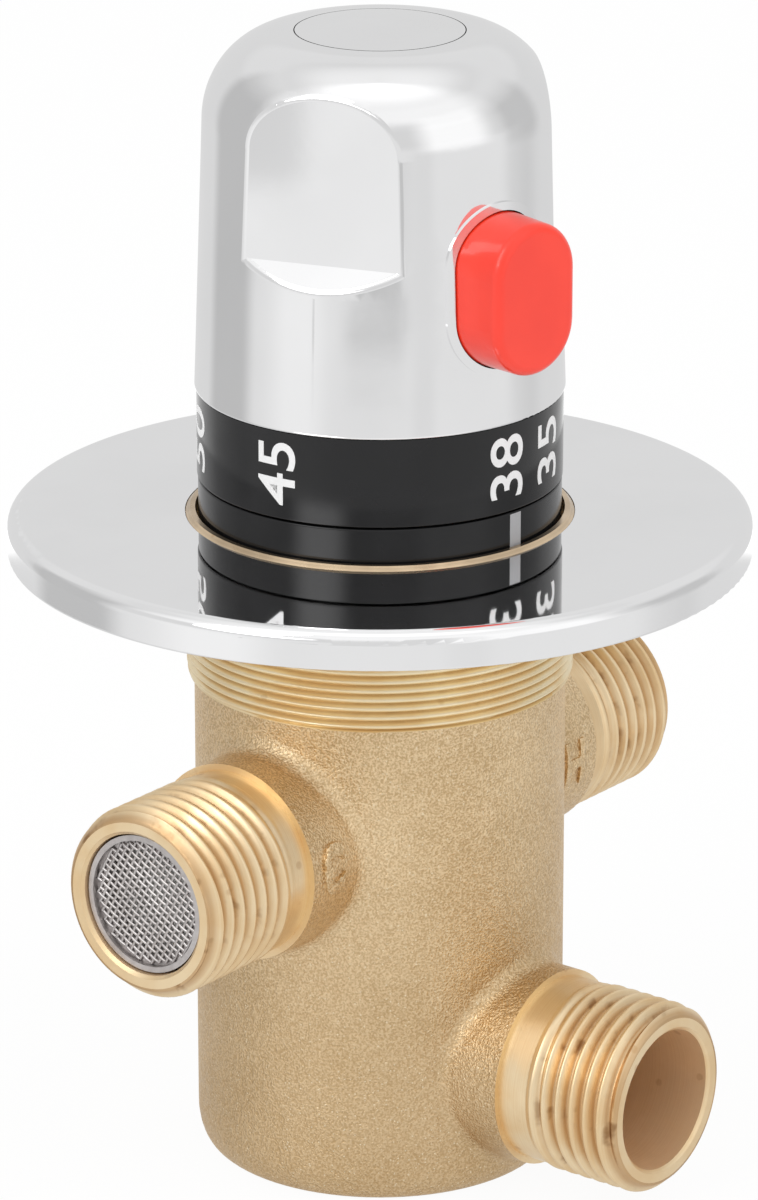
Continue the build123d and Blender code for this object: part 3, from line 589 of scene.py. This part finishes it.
def finish_piece(
    name: str, mesh: Shape | MeshData, materials: list[Material], body: str,
    smooth_angle: float = 60.0,
) -> Piece:
    """Turn a mesh into a finished piece that rides on a body.

    Args:
        name: name of the piece.
        mesh: its mesh, in the shared frame.
        materials: its finishes in slot order.
        body: body that it rides on.
        smooth_angle: largest angle in degrees that is shaded smooth.

    Returns:
        The piece.
    """
    data = flat_data(name, mesh) if isinstance(mesh, Shape) else mesh
    data.name = name
    if "custom_normal" in data.attributes:
        data.attributes.remove(data.attributes["custom_normal"])
    for material in materials:
        data.materials.append(material)
    piece = add_object(name, data)
    data.shade_smooth()
    data.set_sharp_from_angle(angle=radians(smooth_angle))
    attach(piece, body)
    LOG.info("made %s with %d faces", name, len(data.polygons))
    return piece


def flat_data(name: str, mesh: Shape) -> MeshData:
    """Write a mesh under construction to Blender's data and free it."""
    data = bpy.data.meshes.new(name)
    mesh.to_mesh(data)
    mesh.free()
    return data


def welded(data: MeshData, near: float) -> Shape:
    """Copy mesh data to work on, with corners closer than near millimetres merged."""
    mesh = bmesh.new()
    mesh.from_mesh(data)
    bmesh.ops.remove_doubles(mesh, verts=mesh.verts, dist=near * MM)
    return mesh


def curve_data(curve: bpy.types.Curve) -> MeshData:
    """Turn a curve or text into mesh data and remove it."""
    carrier = add_object(curve.name, curve)
    bpy.context.view_layer.update()
    data = bpy.data.meshes.new_from_object(carrier)
    bpy.data.objects.remove(carrier)
    bpy.data.curves.remove(curve)
    return data


def cut(
    mesh: Shape, place: Vector, normal: Vector, near: float, geom: list | None = None, clear: bool = False
) -> None:
    """Cut a mesh along a plane.

    Args:
        mesh: the mesh.
        place: point of the plane in millimetres.
        normal: direction that the plane faces.
        near: how close in millimetres a corner counts as on the plane.
        geom: what is cut, or all of it.
        clear: whether what lies beyond the plane is removed.
    """
    geom = geom or mesh.verts[:] + mesh.edges[:] + mesh.faces[:]
    plane = {"plane_co": place * MM, "plane_no": normal}
    bmesh.ops.bisect_plane(mesh, geom=geom, dist=near * MM, clear_outer=clear, **plane)


def radius_of(spot: Vector) -> float:
    """Distance of a point from the Z axis."""
    return hypot(spot.x, spot.y)


def set_radius(vert: bmesh.types.BMVert, radius: float) -> None:
    """Move a corner to another distance from the Z axis."""
    share = radius / radius_of(vert.co)
    vert.co.x *= share
    vert.co.y *= share


def ease(value: float, start: float, end: float) -> float:
    """Rise smoothly from 0 at start to 1 at end."""
    share = min(max((value - start) / (end - start), 0.0), 1.0)
    return share * share * (3.0 - 2.0 * share)


def thicken(mesh: Shape, rise: Callable[[Vector], Vector]) -> None:
    """Extrude a sheet to a closed raised shape.

    Args:
        mesh: the sheet, already in place.
        rise: gives the raised place of a point of the sheet.
    """
    new = bmesh.ops.extrude_face_region(mesh, geom=mesh.faces[:], use_keep_orig=True)["geom"]
    for vert in (item for item in new if isinstance(item, bmesh.types.BMVert)):
        vert.co = rise(vert.co)
    bmesh.ops.recalc_face_normals(mesh, faces=mesh.faces)


def text_mesh(text: str, length: float, height: float, weight: float, strip: float = 0.35) -> Shape:
    """Flat characters of a given size, centred on the origin and cut into narrow strips.

    Args:
        text: the characters.
        length: length of the whole text in millimetres.
        height: height of the characters in millimetres.
        weight: how far the strokes are thickened, as a share of the type size.
        strip: width of the strips in millimetres.

    Returns:
        The mesh in the XY plane.
    """
    curve = bpy.data.curves.new(f"characters {text}", "FONT")
    curve.body = text
    curve.resolution_u = 6
    curve.offset = weight
    flat = curve_data(curve)
    mesh = welded(flat, 0.1)
    bpy.data.meshes.remove(flat)
    low = Vector([min(vert.co[i] for vert in mesh.verts) for i in range(3)])
    high = Vector([max(vert.co[i] for vert in mesh.verts) for i in range(3)])
    middle = (low + high) / 2.0
    scale = Vector((length * MM / (high.x - low.x), height * MM / (high.y - low.y), 1.0))
    for vert in mesh.verts:
        vert.co = (vert.co - middle) * scale
    for step in range(-24, 25):
        for normal in (Vector((0.0, 1.0, 0.0)), Vector((1.0, 0.0, 0.0))):
            cut(mesh, normal * step * strip, normal, 0.0001)
    return mesh


@dataclass
class ThreadForm:
    """A screw thread with rounded crests, from its run-out to its chamfered end.

    Radii and lengths are in metres along the thread's own axis. The outline of one pitch gives
    places along it and how far they rise from root to crest, both as shares.
    """

    crest: float
    depth: float
    pitch: float
    start: float
    end: float
    inner: float
    start_radius: float
    run_out: float
    chamfer: float
    steps: int = 72
    outline: tuple[tuple[float, float], ...] = (
        (0.0, 0.0), (0.07, 0.04), (0.15, 0.18), (0.34, 0.82), (0.42, 0.96), (0.5, 1.0),
        (0.58, 0.96), (0.66, 0.82), (0.85, 0.18), (0.93, 0.04), (1.0, 0.0),
    )

    def wind(self) -> Shape:
        """Spin one pitch of the outline into a closed threaded sleeve.

        Returns:
            The sleeve about the Z axis.
        """
        mesh = bmesh.new()
        turns = int((self.end - self.start) / self.pitch) + 3
        low = self.start - 1.5 * self.pitch
        points = [
            mesh.verts.new((self.crest - self.depth * (1.0 - rise), 0.0, low + along * self.pitch))
            for along, rise in self.outline
        ]
        edges = [mesh.edges.new(pair) for pair in zip(points, points[1:])]
        bmesh.ops.spin(
            mesh, geom=points + edges, cent=(0.0, 0.0, 0.0), axis=(0.0, 0.0, 1.0),
            dvec=(0.0, 0.0, self.pitch / self.steps), angle=2.0 * pi * turns, steps=self.steps * turns,
            use_merge=False, use_duplicate=False,
        )
        bmesh.ops.remove_doubles(mesh, verts=mesh.verts, dist=0.01 * MM)
        for height, outward in ((self.start, -1.0), (self.end, 1.0)):
            cut(mesh, Vector((0.0, 0.0, height / MM)), Vector((0.0, 0.0, outward)), 0.0005, clear=True)
        self.shape(mesh)
        self.close(mesh)
        bmesh.ops.recalc_face_normals(mesh, faces=mesh.faces)
        return mesh

    def shape(self, mesh: Shape) -> None:
        """Fade the groove out at the start and turn the chamfer at the end."""
        root = self.crest - self.depth
        for vert in mesh.verts:
            height = vert.co.z
            groove = (self.crest - radius_of(vert.co)) * ease(height, self.start, self.start + self.run_out)
            rise = ease(height, self.start, self.start + 0.7 * self.pitch)
            base = self.start_radius + (self.crest - self.start_radius) * rise
            set_radius(vert, min(base - groove, root + (self.end - height) * self.chamfer))

    def close(self, mesh: Shape) -> None:
        """Close the sleeve with flat ends and an inner wall."""
        rims = []
        for height in (self.start, self.end):
            edges = [
                edge
                for edge in mesh.edges
                if edge.is_boundary and all(abs(vert.co.z - height) < 0.01 * MM for vert in edge.verts)
            ]
            new = bmesh.ops.extrude_edge_only(mesh, edges=edges)["geom"]
            for vert in (item for item in new if isinstance(item, bmesh.types.BMVert)):
                set_radius(vert, self.inner)
            rims += [item for item in new if isinstance(item, bmesh.types.BMEdge)]
        bmesh.ops.bridge_loops(mesh, edges=rims)


# Sub-assemblies


@dataclass
class PortForm:
    """Sizes of one port, in millimetres from the knob's axis."""

    side: PortSide
    height: float
    boss_end: float
    neck_end: float
    reach: float

    def frame(self) -> Matrix:
        """Place of the port's own frame."""
        return port_matrix(self.side, self.height)


@dataclass
class ValveCasting:
    """Cast body with turned ports and collar, and its four threads."""

    finishes: FinishSet
    nodes: dict[str, Piece]
    thread_radius: float = 10.4775
    thread_depth: float = 1.1
    thread_pitch: float = 1.814
    neck_radius: float = 10.2
    core_radius: float = 9.15
    bore_radius: float = 8.3
    bore_start: float = 14.5
    bore_chamfer: float = 1.5
    collar_radius: float = 21.0
    wall_inner: float = 18.6
    wall_cuts: tuple[int, int, int] = (6, 54, 2)
    collar_core: float = 20.25
    collar_depth: float = 0.6
    collar_pitch: float = 1.0
    collar_bottom: float = 54.9
    collar_thread_top: float = 68.78
    lip_bottom: float = 71.0
    ports: tuple[PortForm, ...] = (
        PortForm(PortSide.COLD, INLET_HEIGHT, 25.4, 28.0, 41.2),
        PortForm(PortSide.HOT, INLET_HEIGHT, 25.4, 28.0, 41.2),
        PortForm(PortSide.MIXED, OUTLET_HEIGHT, 24.0, 27.7, 38.95),
    )

    def build(self) -> None:
        """Make the casting and its threads."""
        self.build_casting()
        for port in self.ports:
            self.build_port_thread(port)
        self.build_collar_thread()

    def build_casting(self) -> None:
        """Copy the plain casting, sink its plain threads and sort its faces by finish."""
        mesh = welded(self.nodes["valve_body"].data, 0.001)
        up = Vector((0.0, 0.0, 1.0))
        for height in (*range(*self.wall_cuts), self.collar_thread_top, self.collar_thread_top + 0.05):
            walls = [face for face in mesh.faces if self.on_wall(face)]
            edges = dict.fromkeys(edge for face in walls for edge in face.edges)
            corners = dict.fromkeys(vert for face in walls for vert in face.verts)
            cut(mesh, up * height, up, 0.0001, [*walls, *edges, *corners])
        for port in self.ports:
            self.sink_port(mesh, port)
        self.sink_collar(mesh)
        for face in mesh.faces:
            face.material_index = self.finish_of(face)
        names = ("cast", "turned_x", "turned_y", "turned_z", "bored", "lip")
        materials = [self.finishes[name] for name in names]
        piece = finish_piece("valve_casting", mesh, materials, "body", 30.0)
        keeper = piece.modifiers.new("even shading", "WEIGHTED_NORMAL")
        keeper.keep_sharp = True
        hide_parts("valve_body")

    def on_wall(self, face: bmesh.types.BMFace) -> bool:
        """Tell whether a face belongs to the body's upright outer wall."""
        low = self.wall_inner * MM
        high = (self.collar_radius + 0.1) * MM
        return all(low < radius_of(vert.co) < high for vert in face.verts)

    def sink_port(self, mesh: Shape, port: PortForm) -> None:
        """Draw the plain thread in to a core that the wound thread covers."""
        forth = port.frame()
        back = forth.inverted()
        for vert in mesh.verts:
            spot = back @ vert.co
            radius = radius_of(spot)
            inside = (port.neck_end - 0.02) * MM < spot.z and 9.4 * MM < radius < 10.6 * MM
            if inside and (spot.z > (port.neck_end + 0.02) * MM or radius > (self.neck_radius + 0.1) * MM):
                share = self.core_radius * MM / radius
                vert.co = forth @ Vector((spot.x * share, spot.y * share, spot.z))

    def sink_collar(self, mesh: Shape) -> None:
        """Draw the plain collar in to a core below the plate."""
        for vert in mesh.verts:
            low = self.collar_bottom - 0.02 < vert.co.z / MM < self.collar_thread_top + 0.02
            if low and 20.3 * MM < radius_of(vert.co) < 21.1 * MM:
                set_radius(vert, self.collar_core * MM)

    def finish_of(self, face: bmesh.types.BMFace) -> int:
        """Tell a face's finish: 0 as cast, 1 to 3 turned about X, Y or Z, 4 bored, 5 lip."""
        middle = face.calc_center_median()
        for port in self.ports:
            spot = port.frame().inverted() @ middle
            at_end = spot.z > (port.boss_end - 0.03) * MM and radius_of(spot) < 12 * MM
            in_bore = spot.z > self.bore_start * MM and radius_of(spot) < self.bore_radius * MM
            if in_bore and spot.z < (port.reach - self.bore_chamfer) * MM:
                return 4
            if at_end or in_bore:
                return 2 if port.side is PortSide.MIXED else 1
        if middle.z > self.lip_bottom * MM and radius_of(middle) > 20.0 * MM:
            return 5
        inside = radius_of(middle) < 17 * MM and middle.z > MM
        return 3 if inside or middle.z > (self.collar_bottom - 0.05) * MM else 0

    def build_port_thread(self, port: PortForm) -> None:
        """Wind the pipe thread of one port."""
        form = ThreadForm(
            crest=self.thread_radius * MM, depth=self.thread_depth * MM, pitch=self.thread_pitch * MM,
            start=(port.neck_end - 0.5) * MM, end=(port.reach - 0.01) * MM,
            inner=(self.core_radius - 0.25) * MM, start_radius=(self.neck_radius - 0.05) * MM,
            run_out=1.8 * self.thread_pitch * MM, chamfer=1.0,
        )
        mesh = form.wind()
        bmesh.ops.transform(mesh, matrix=port.frame(), verts=mesh.verts)
        material = self.finishes["thread_y" if port.side is PortSide.MIXED else "thread_x"]
        finish_piece(f"{port.side.name.lower()}_thread", mesh, [material], "body")

    def build_collar_thread(self) -> None:
        """Wind the fine thread of the collar below the plate."""
        rise = ((0.0, 0.0), (0.1, 0.15), (0.28, 0.75), (0.4, 0.95))
        form = ThreadForm(
            crest=self.collar_radius * MM, depth=self.collar_depth * MM, pitch=self.collar_pitch * MM,
            start=self.collar_bottom * MM, end=self.collar_thread_top * MM,
            inner=(self.collar_core - 0.2) * MM, start_radius=(self.collar_radius - 0.25) * MM,
            run_out=0.3 * self.collar_pitch * MM, chamfer=20.0, steps=120,
            outline=(*rise, (0.5, 1.0), *((1.0 - along, level) for along, level in reversed(rise))),
        )
        finish_piece("collar_thread", form.wind(), [self.finishes["thread_z"]], "body")


@dataclass
class ScaleNumbers:
    """White numbers printed up the scale ring, and the grey index mark below them."""

    finishes: FinishSet
    ring_radius: float = 19.7
    index_radius: float = 19.6
    middle: float = 82.4
    length: float = 6.9
    height: float = 4.7
    weight: float = 0.008
    proud: float = 0.035
    sunk: float = 0.12
    index_angle: float = -95.4
    index_width: float = 1.65
    index_low: float = 73.15
    index_high: float = 76.95
    numbers: dict[str, float] = field(
        default_factory=lambda: {
            "50": 139.6, "45": -175.9, "38": -99.4, "35": -77.6, "30": -41.3, "25": -6.3, "20": 25.7
        }
    )

    def build(self) -> None:
        """Make the numbers and the mark."""
        whole = bmesh.new()
        for text, angle in self.numbers.items():
            self.add_number(whole, text, radians(angle))
        finish_piece("scale_numbers", whole, [self.finishes["print"]], "knob", 35.0)
        self.build_index()

    def add_number(self, whole: Shape, text: str, angle: float) -> None:
        """Wrap one number round the ring, reading upwards."""
        mesh = text_mesh(text, self.length, self.height, self.weight)
        low = (self.ring_radius - self.sunk) * MM
        for vert in mesh.verts:
            turn = angle - vert.co.y / (self.ring_radius * MM)
            vert.co = Vector((cos(turn) * low, sin(turn) * low, self.middle * MM + vert.co.x))
        self.raise_print(mesh, self.ring_radius)
        data = flat_data(text, mesh)
        whole.from_mesh(data)
        bpy.data.meshes.remove(data)

    def raise_print(self, mesh: Shape, radius: float) -> None:
        """Give a print its thickness, outwards from a ring of a given radius."""
        share = (radius + self.proud) / (radius - self.sunk)
        thicken(mesh, lambda spot: Vector((spot.x * share, spot.y * share, spot.z)))

    def build_index(self) -> None:
        """Make the mark on the fixed ring."""
        mesh = bmesh.new()
        bmesh.ops.create_grid(mesh, x_segments=10, y_segments=2, size=0.5)
        low = (self.index_radius - self.sunk) * MM
        middle = (self.index_low + self.index_high) / 2.0 * MM
        for vert in mesh.verts:
            turn = radians(self.index_angle) + vert.co.x * self.index_width / self.index_radius
            lift = vert.co.y * (self.index_high - self.index_low) * MM
            vert.co = Vector((cos(turn) * low, sin(turn) * low, middle + lift))
        self.raise_print(mesh, self.index_radius)
        finish_piece("index_mark", mesh, [self.finishes["mark"]], "body", 35.0)


@dataclass
class CastMark:
    """Raised letter that tells the cold or hot side, cast on the boss."""

    finishes: FinishSet
    name: str
    letter: str
    side: PortSide
    distance: float
    lift_angle: float
    length: float
    height: float
    proud: float = 0.3
    sunk: float = 0.4
    weight: float = 0.035
    roughness: float = 0.16
    grain: float = 900.0
    seed: int = 4

    def build(self) -> None:
        """Wrap the letter round the boss on the side that faces the outlet."""
        mesh = text_mesh(self.letter, self.length, self.height, self.weight)
        middle = self.distance * cos(radians(self.side.value)) * MM
        axis = INLET_HEIGHT * MM
        low = (BOSS_RADIUS - self.sunk) * MM
        for vert in mesh.verts:
            turn = vert.co.y / (BOSS_RADIUS * MM) + radians(self.lift_angle)
            vert.co = Vector((middle + vert.co.x, -cos(turn) * low, axis + sin(turn) * low))
        share = (BOSS_RADIUS + self.proud) / (BOSS_RADIUS - self.sunk)
        thicken(mesh, lambda spot: Vector((spot.x, spot.y * share, axis + (spot.z - axis) * share)))
        noise.seed_set(self.seed)
        for vert in mesh.verts:
            vert.co += noise.noise_vector(vert.co * self.grain) * self.roughness * MM
        axes = {"use_axis_x": True, "use_axis_y": True, "use_axis_z": True}
        bmesh.ops.smooth_vert(mesh, verts=mesh.verts, factor=0.4, **axes)
        finish_piece(self.name, mesh, [self.finishes["cast"]], "body")


@dataclass
class WovenStrainer:
    """Fine woven wire cloth across an inlet."""

    finishes: FinishSet
    side: PortSide
    face: float = 39.85
    radius: float = 6.88
    pitch: float = 0.72
    wire: float = 0.175
    crimp: float = 0.3
    turn: float = -28.0

    def build(self) -> None:
        """Weave the cloth as curves with round section and make it one mesh."""
        curve = bpy.data.curves.new("wires", "CURVE")
        curve.dimensions = "3D"
        curve.bevel_depth = self.wire * MM
        curve.bevel_resolution = 2
        curve.resolution_u = 1
        count = int(self.radius / self.pitch)
        for line in range(-count, count + 1):
            reach = int(sqrt(self.radius**2 - (line * self.pitch) ** 2) / self.pitch)
            if reach < 2:
                continue
            for warp in (True, False):
                wire = curve.splines.new("POLY")
                wire.points.add(2 * reach)
                for point, step in zip(wire.points, range(-reach, reach + 1)):
                    over = 1.0 if (step + line) % 2 == 0 else -1.0
                    lift = self.wire * self.crimp * (over if warp else -over)
                    x, y = (step, line) if warp else (line, step)
                    point.co = (x * self.pitch * MM, y * self.pitch * MM, lift * MM, 1.0)
        data = curve_data(curve)
        place = port_matrix(self.side, INLET_HEIGHT) @ Matrix.Translation((0.0, 0.0, self.face * MM))
        data.transform(place @ Matrix.Rotation(radians(self.turn), 4, "Z"))
        name = self.side.name.lower()
        cloth = [self.finishes["strainer"]]
        piece = finish_piece(f"{name}_woven_mesh", data, cloth, "body")
        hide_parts(f"{name}_strainer_mesh")


@dataclass
class CoilSpring:
    """Compression spring, copied from its node as a piece of its own."""

    finishes: FinishSet
    nodes: dict[str, Piece]
    node: str
    body: str
    joint: str
    axis: tuple[float, float, float]
    anchor: tuple[float, float, float]
    keep: float

    def build(self) -> None:
        """Copy the coil as a piece of its own and hide the imported one."""
        mesh = welded(self.nodes[self.node].data, 0.0005)
        piece = finish_piece(f"{self.node}_coil", mesh, [self.finishes["steel"]], self.body, 50.0)
        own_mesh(piece)
        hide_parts(self.node)


@dataclass
class SpringSet:
    """The four springs, with their fixed ends in millimetres."""

    finishes: FinishSet
    nodes: dict[str, Piece]
    button_angle: float = -101.8
    button_end: float = 7.0
    button_height: float = 102.0
    button_keep: float = 0.64
    return_end: float = 25.5
    return_keep: float = 0.955
    check_end: float = 21.5
    check_keep: float = 0.75

    def build(self) -> None:
        """Make every spring."""
        x, y = cos(radians(self.button_angle)), sin(radians(self.button_angle))
        button = (x * self.button_end, y * self.button_end, self.button_height)
        foot = (0.0, 0.0, self.return_end)
        rows = [
            ("button_spring", "knob", "button_press", (-x, -y, 0.0), button, self.button_keep),
            ("return_spring", "body", "regulator_slide", (0.0, 0.0, 1.0), foot, self.return_keep),
        ]
        for side, way in (("cold", 1.0), ("hot", -1.0)):
            anchor = (-way * self.check_end, 0.0, INLET_HEIGHT)
            joint = f"{side}_check_open"
            rows.append((f"{side}_check_spring", "body", joint, (way, 0.0, 0.0), anchor, self.check_keep))
        for row in rows:
            CoilSpring(self.finishes, self.nodes, *row).build()


@dataclass
class Assembly:
    """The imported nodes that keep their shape, each with its finish."""

    finishes: FinishSet
    nodes: dict[str, Piece]
    looks: dict[str, str] = field(
        default_factory=lambda: {
            "cast": "valve_body",
            "plate": "wall_plate",
            "chrome": "knob_shell knob_cap",
            "black": "index_ring scale_ring",
            "red": "override_button",
            "white": "stop_ring cold_check_housing hot_check_housing cold_check_poppet hot_check_poppet",
            "turned_z": "cartridge_head cartridge_sleeve spindle adjuster_nut shuttle spring_retainer",
            "copper": "wax_capsule",
            "strainer": "cold_strainer_rim hot_strainer_rim cold_strainer_mesh hot_strainer_mesh",
            "rubber": "spindle_seal lower_seal middle_seal upper_seal shuttle_seal "
            "cold_check_seal hot_check_seal",
            "steel": "knob_screw spindle_clip overload_clip overload_cup overload_spring wax_piston "
            "button_spring return_spring cold_check_spring hot_check_spring",
        }
    )

    def build(self) -> None:
        """Give every material slot of each node its finish."""
        for look, names in self.looks.items():
            for name in names.split():
                piece = self.nodes[name]
                if not piece.material_slots:
                    piece.data.materials.append(self.finishes[look])
                for place in piece.material_slots:
                    place.material = self.finishes[look]
                LOG.info("dressed %s in %s", name, self.finishes[look].name)


# Studio


@dataclass(frozen=True)
class SoftPatch:
    """Lighter or darker area of the surroundings, as seen from the mixer.

    Turn is in degrees from the camera's side, growing to the camera's right. Lift is the sine of the
    height above the horizon. The core is the share of the reach that has the full change.
    """

    turn: float
    turn_reach: float
    lift: float
    lift_reach: float
    change: float
    core: float = 0.3


@dataclass(frozen=True)
class SoftLamp:
    """Soft rectangular lamp that faces the mixer.

    Turn is in degrees to the right of the camera and lift in degrees above the horizon. Distance,
    width and height are in metres, and a brightness of 1 is the white of paper. Polished parts show
    the lamp where mirrored is set.
    """

    name: str
    turn: float
    lift: float
    distance: float
    width: float
    height: float
    brightness: float
    mirrored: bool = True


@dataclass
class Studio:
    """Camera, pale floor, soft lamps and pale surroundings."""

    azimuth: float = -52.3
    elevation: float = 19.39
    distance: float = 689.37
    aim_height: float = 62.48
    aside: float = 0.108
    lens: float = 190.72
    floor_size: float = 8.0
    floor_shade: float = 0.93
    floor_whiteness: float = 0.94
    base: float = 0.74
    lamp_aim: float = 70.0
    lamps: tuple[SoftLamp, ...] = (
        SoftLamp("key_lamp", -46.0, 38.0, 0.85, 0.36, 0.5, 2.5),
        SoftLamp("fill_lamp", 62.0, 43.0, 0.85, 0.4, 0.34, 2.2, False),
    )
    patches: tuple[SoftPatch, ...] = (
        SoftPatch(5.0, 105.0, -0.5, 0.62, 0.09, 0.75),
        SoftPatch(-53.0, 26.0, -0.35, 0.6, 0.11, 0.2),
        SoftPatch(27.0, 11.0, -0.1, 0.45, -0.055, 0.2),
        SoftPatch(-109.0, 26.0, 0.05, 0.75, -0.19, 0.5),
        SoftPatch(104.0, 24.0, 0.18, 0.5, -0.15, 0.4),
        SoftPatch(101.0, 20.0, -0.45, 0.5, -0.05),
        SoftPatch(0.0, 600.0, 0.6, 0.25, 0.05, 0.4),
        SoftPatch(0.0, 600.0, 1.0, 0.24, 0.23, 0.05),
        SoftPatch(-2.0, 96.0, 0.88, 0.44, 0.22, 0.65),
        SoftPatch(50.0, 33.0, 0.25, 0.38, 0.33, 0.4),
        SoftPatch(-3.0, 27.0, -0.212, 0.0215, -0.24, 0.4),
        SoftPatch(-41.95, 0.72, -0.212, 0.0215, -0.21, 0.85),
        SoftPatch(0.0, 600.0, -0.3125, 0.0135, 0.5, 0.8),
        SoftPatch(-38.0, 22.0, 0.33, 0.1, 2.4, 0.3),
    )

    def build(self) -> None:
        """Set up everything round the mixer."""
        bpy.context.scene.view_settings.view_transform = "Standard"
        self.build_camera()
        self.build_world()
        self.build_floor()
        for lamp in self.lamps:
            self.build_lamp(lamp)

    def direction(self, turn: float, lift: float) -> Vector:
        """Direction from the mixer, by degrees to the right of the camera and degrees of height."""
        angle = radians(self.azimuth + turn)
        rise = radians(lift)
        return Vector((sin(angle) * cos(rise), -cos(angle) * cos(rise), sin(rise)))

    def build_camera(self) -> None:
        """Place the camera at the photograph's viewpoint."""
        data = bpy.data.cameras.new("camera")
        data.sensor_width = 36.0
        data.lens = self.lens
        camera = add_object("camera", data)
        back = self.direction(0.0, self.elevation)
        right = Vector((cos(radians(self.azimuth)), sin(radians(self.azimuth)), 0.0))
        aim = Vector((0.0, 0.0, self.aim_height * MM))
        camera.location = aim + back * self.distance * MM - right * self.aside * MM
        camera.rotation_euler = back.to_track_quat("Z", "Y").to_euler()
        bpy.context.scene.camera = camera

    def build_world(self) -> None:
        """Pale surroundings with soft lighter and darker areas, white behind the mixer."""
        world = bpy.data.worlds.new("pale studio")
        world.use_nodes = True
        bpy.context.scene.world = world
        sheet = NodeSheet(world.node_tree)
        way = sheet.add("ShaderNodeTexCoord").outputs["Generated"]
        upright = {"rotation_type": "Z_AXIS"}
        turned = sheet.add("ShaderNodeVectorRotate", upright, Vector=way, Angle=radians(-self.azimuth))
        parts = sheet.add("ShaderNodeSeparateXYZ", Vector=turned.outputs[0]).outputs
        ahead = sheet.math("MULTIPLY", parts["Y"], -1.0)
        turn = sheet.math("ARCTAN2", parts["X"], ahead)
        level: object = self.base
        for patch in self.patches:
            mask = self.patch_mask(sheet, patch, turn, parts["Z"])
            level = sheet.math("MULTIPLY_ADD", mask, patch.change, level)
        shade = sheet.add("ShaderNodeCombineColor", Red=level, Green=level, Blue=level).outputs[0]
        seen = sheet.add("ShaderNodeLightPath").outputs["Is Camera Ray"]
        color = sheet.mix(seen, shade, (1.0, 1.0, 1.0))
        sheet.feed(world.node_tree.nodes["Background"].inputs["Color"], color)

    def patch_mask(self, sheet: NodeSheet, patch: SoftPatch, turn: Socket, lift: Socket) -> Socket:
        """Soft mask of one patch, 1 at its middle and 0 past its reach.

        Args:
            sheet: the world's sheet.
            patch: the patch.
            turn: direction's angle socket in radians.
            lift: direction's height socket.

        Returns:
            The mask's socket.
        """
        reach = radians(patch.turn_reach)
        aside = sheet.math("ABSOLUTE", sheet.math("SUBTRACT", turn, radians(patch.turn)))
        above = sheet.math("ABSOLUTE", sheet.math("SUBTRACT", lift, patch.lift))
        across = sheet.ramp(aside, reach * patch.core, reach, 1.0, 0.0)
        upright = sheet.ramp(above, patch.lift_reach * patch.core, patch.lift_reach, 1.0, 0.0)
        return sheet.math("MULTIPLY", across, upright)

    def build_floor(self) -> None:
        """Pale floor that keeps a faint shadow and runs into the white surroundings."""
        mesh = bmesh.new()
        bmesh.ops.create_grid(mesh, x_segments=1, y_segments=1, size=self.floor_size / 2.0)
        floor = add_object("floor", flat_data("floor", mesh))
        material = bpy.data.materials.new("pale floor")
        material.use_nodes = True
        sheet = NodeSheet(material.node_tree)
        shader = material.node_tree.nodes["Principled BSDF"]
        shader.inputs["Base Color"].default_value = opaque((self.floor_shade,) * 3)
        shader.inputs["Roughness"].default_value = 0.9
        shader.inputs["Specular IOR Level"].default_value = 0.0
        white = sheet.add("ShaderNodeEmission", Color=(1.0, 1.0, 1.0, 1.0), Strength=1.0)
        seen = sheet.add("ShaderNodeLightPath").outputs["Is Camera Ray"]
        blend = sheet.add("ShaderNodeMixShader", Fac=sheet.math("MULTIPLY", seen, self.floor_whiteness))
        sheet.feed(blend.inputs[1], shader.outputs[0])
        sheet.feed(blend.inputs[2], white.outputs[0])
        sheet.feed(material.node_tree.nodes["Material Output"].inputs["Surface"], blend.outputs[0])
        floor.data.materials.append(material)
        floor.visible_glossy = False

    def build_lamp(self, lamp: SoftLamp) -> None:
        """Hang one lamp."""
        data = bpy.data.lights.new(lamp.name, "AREA")
        data.shape = "RECTANGLE"
        data.size = lamp.width
        data.size_y = lamp.height
        data.energy = lamp.brightness * pi * lamp.width * lamp.height
        carrier = add_object(lamp.name, data)
        carrier.visible_glossy = lamp.mirrored
        back = self.direction(lamp.turn, lamp.lift)
        carrier.location = Vector((0.0, 0.0, self.lamp_aim * MM)) + back * lamp.distance
        carrier.rotation_euler = back.to_track_quat("Z", "Y").to_euler()


def main() -> None:
    """Build the mixer's look piece by piece."""
    logging.basicConfig(level=logging.INFO, format="%(message)s")
    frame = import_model()
    nodes = frame["nodes"]
    finishes = FinishSet()
    parts = (
        Assembly(finishes, nodes),
        ValveCasting(finishes, nodes),
        CastMark(finishes, "cold_cast_mark", "C", PortSide.COLD, 22.1, 4.0, 3.4, 5.8, 0.5, weight=0.06),
        CastMark(finishes, "hot_cast_mark", "H", PortSide.HOT, 21.4, -2.0, 3.6, 5.4),
        ScaleNumbers(finishes),
        WovenStrainer(finishes, PortSide.COLD),
        WovenStrainer(finishes, PortSide.HOT),
        SpringSet(finishes, nodes),
        Studio(),
    )
    for part in parts:
        part.build()


if __name__ == "__main__":
    main()
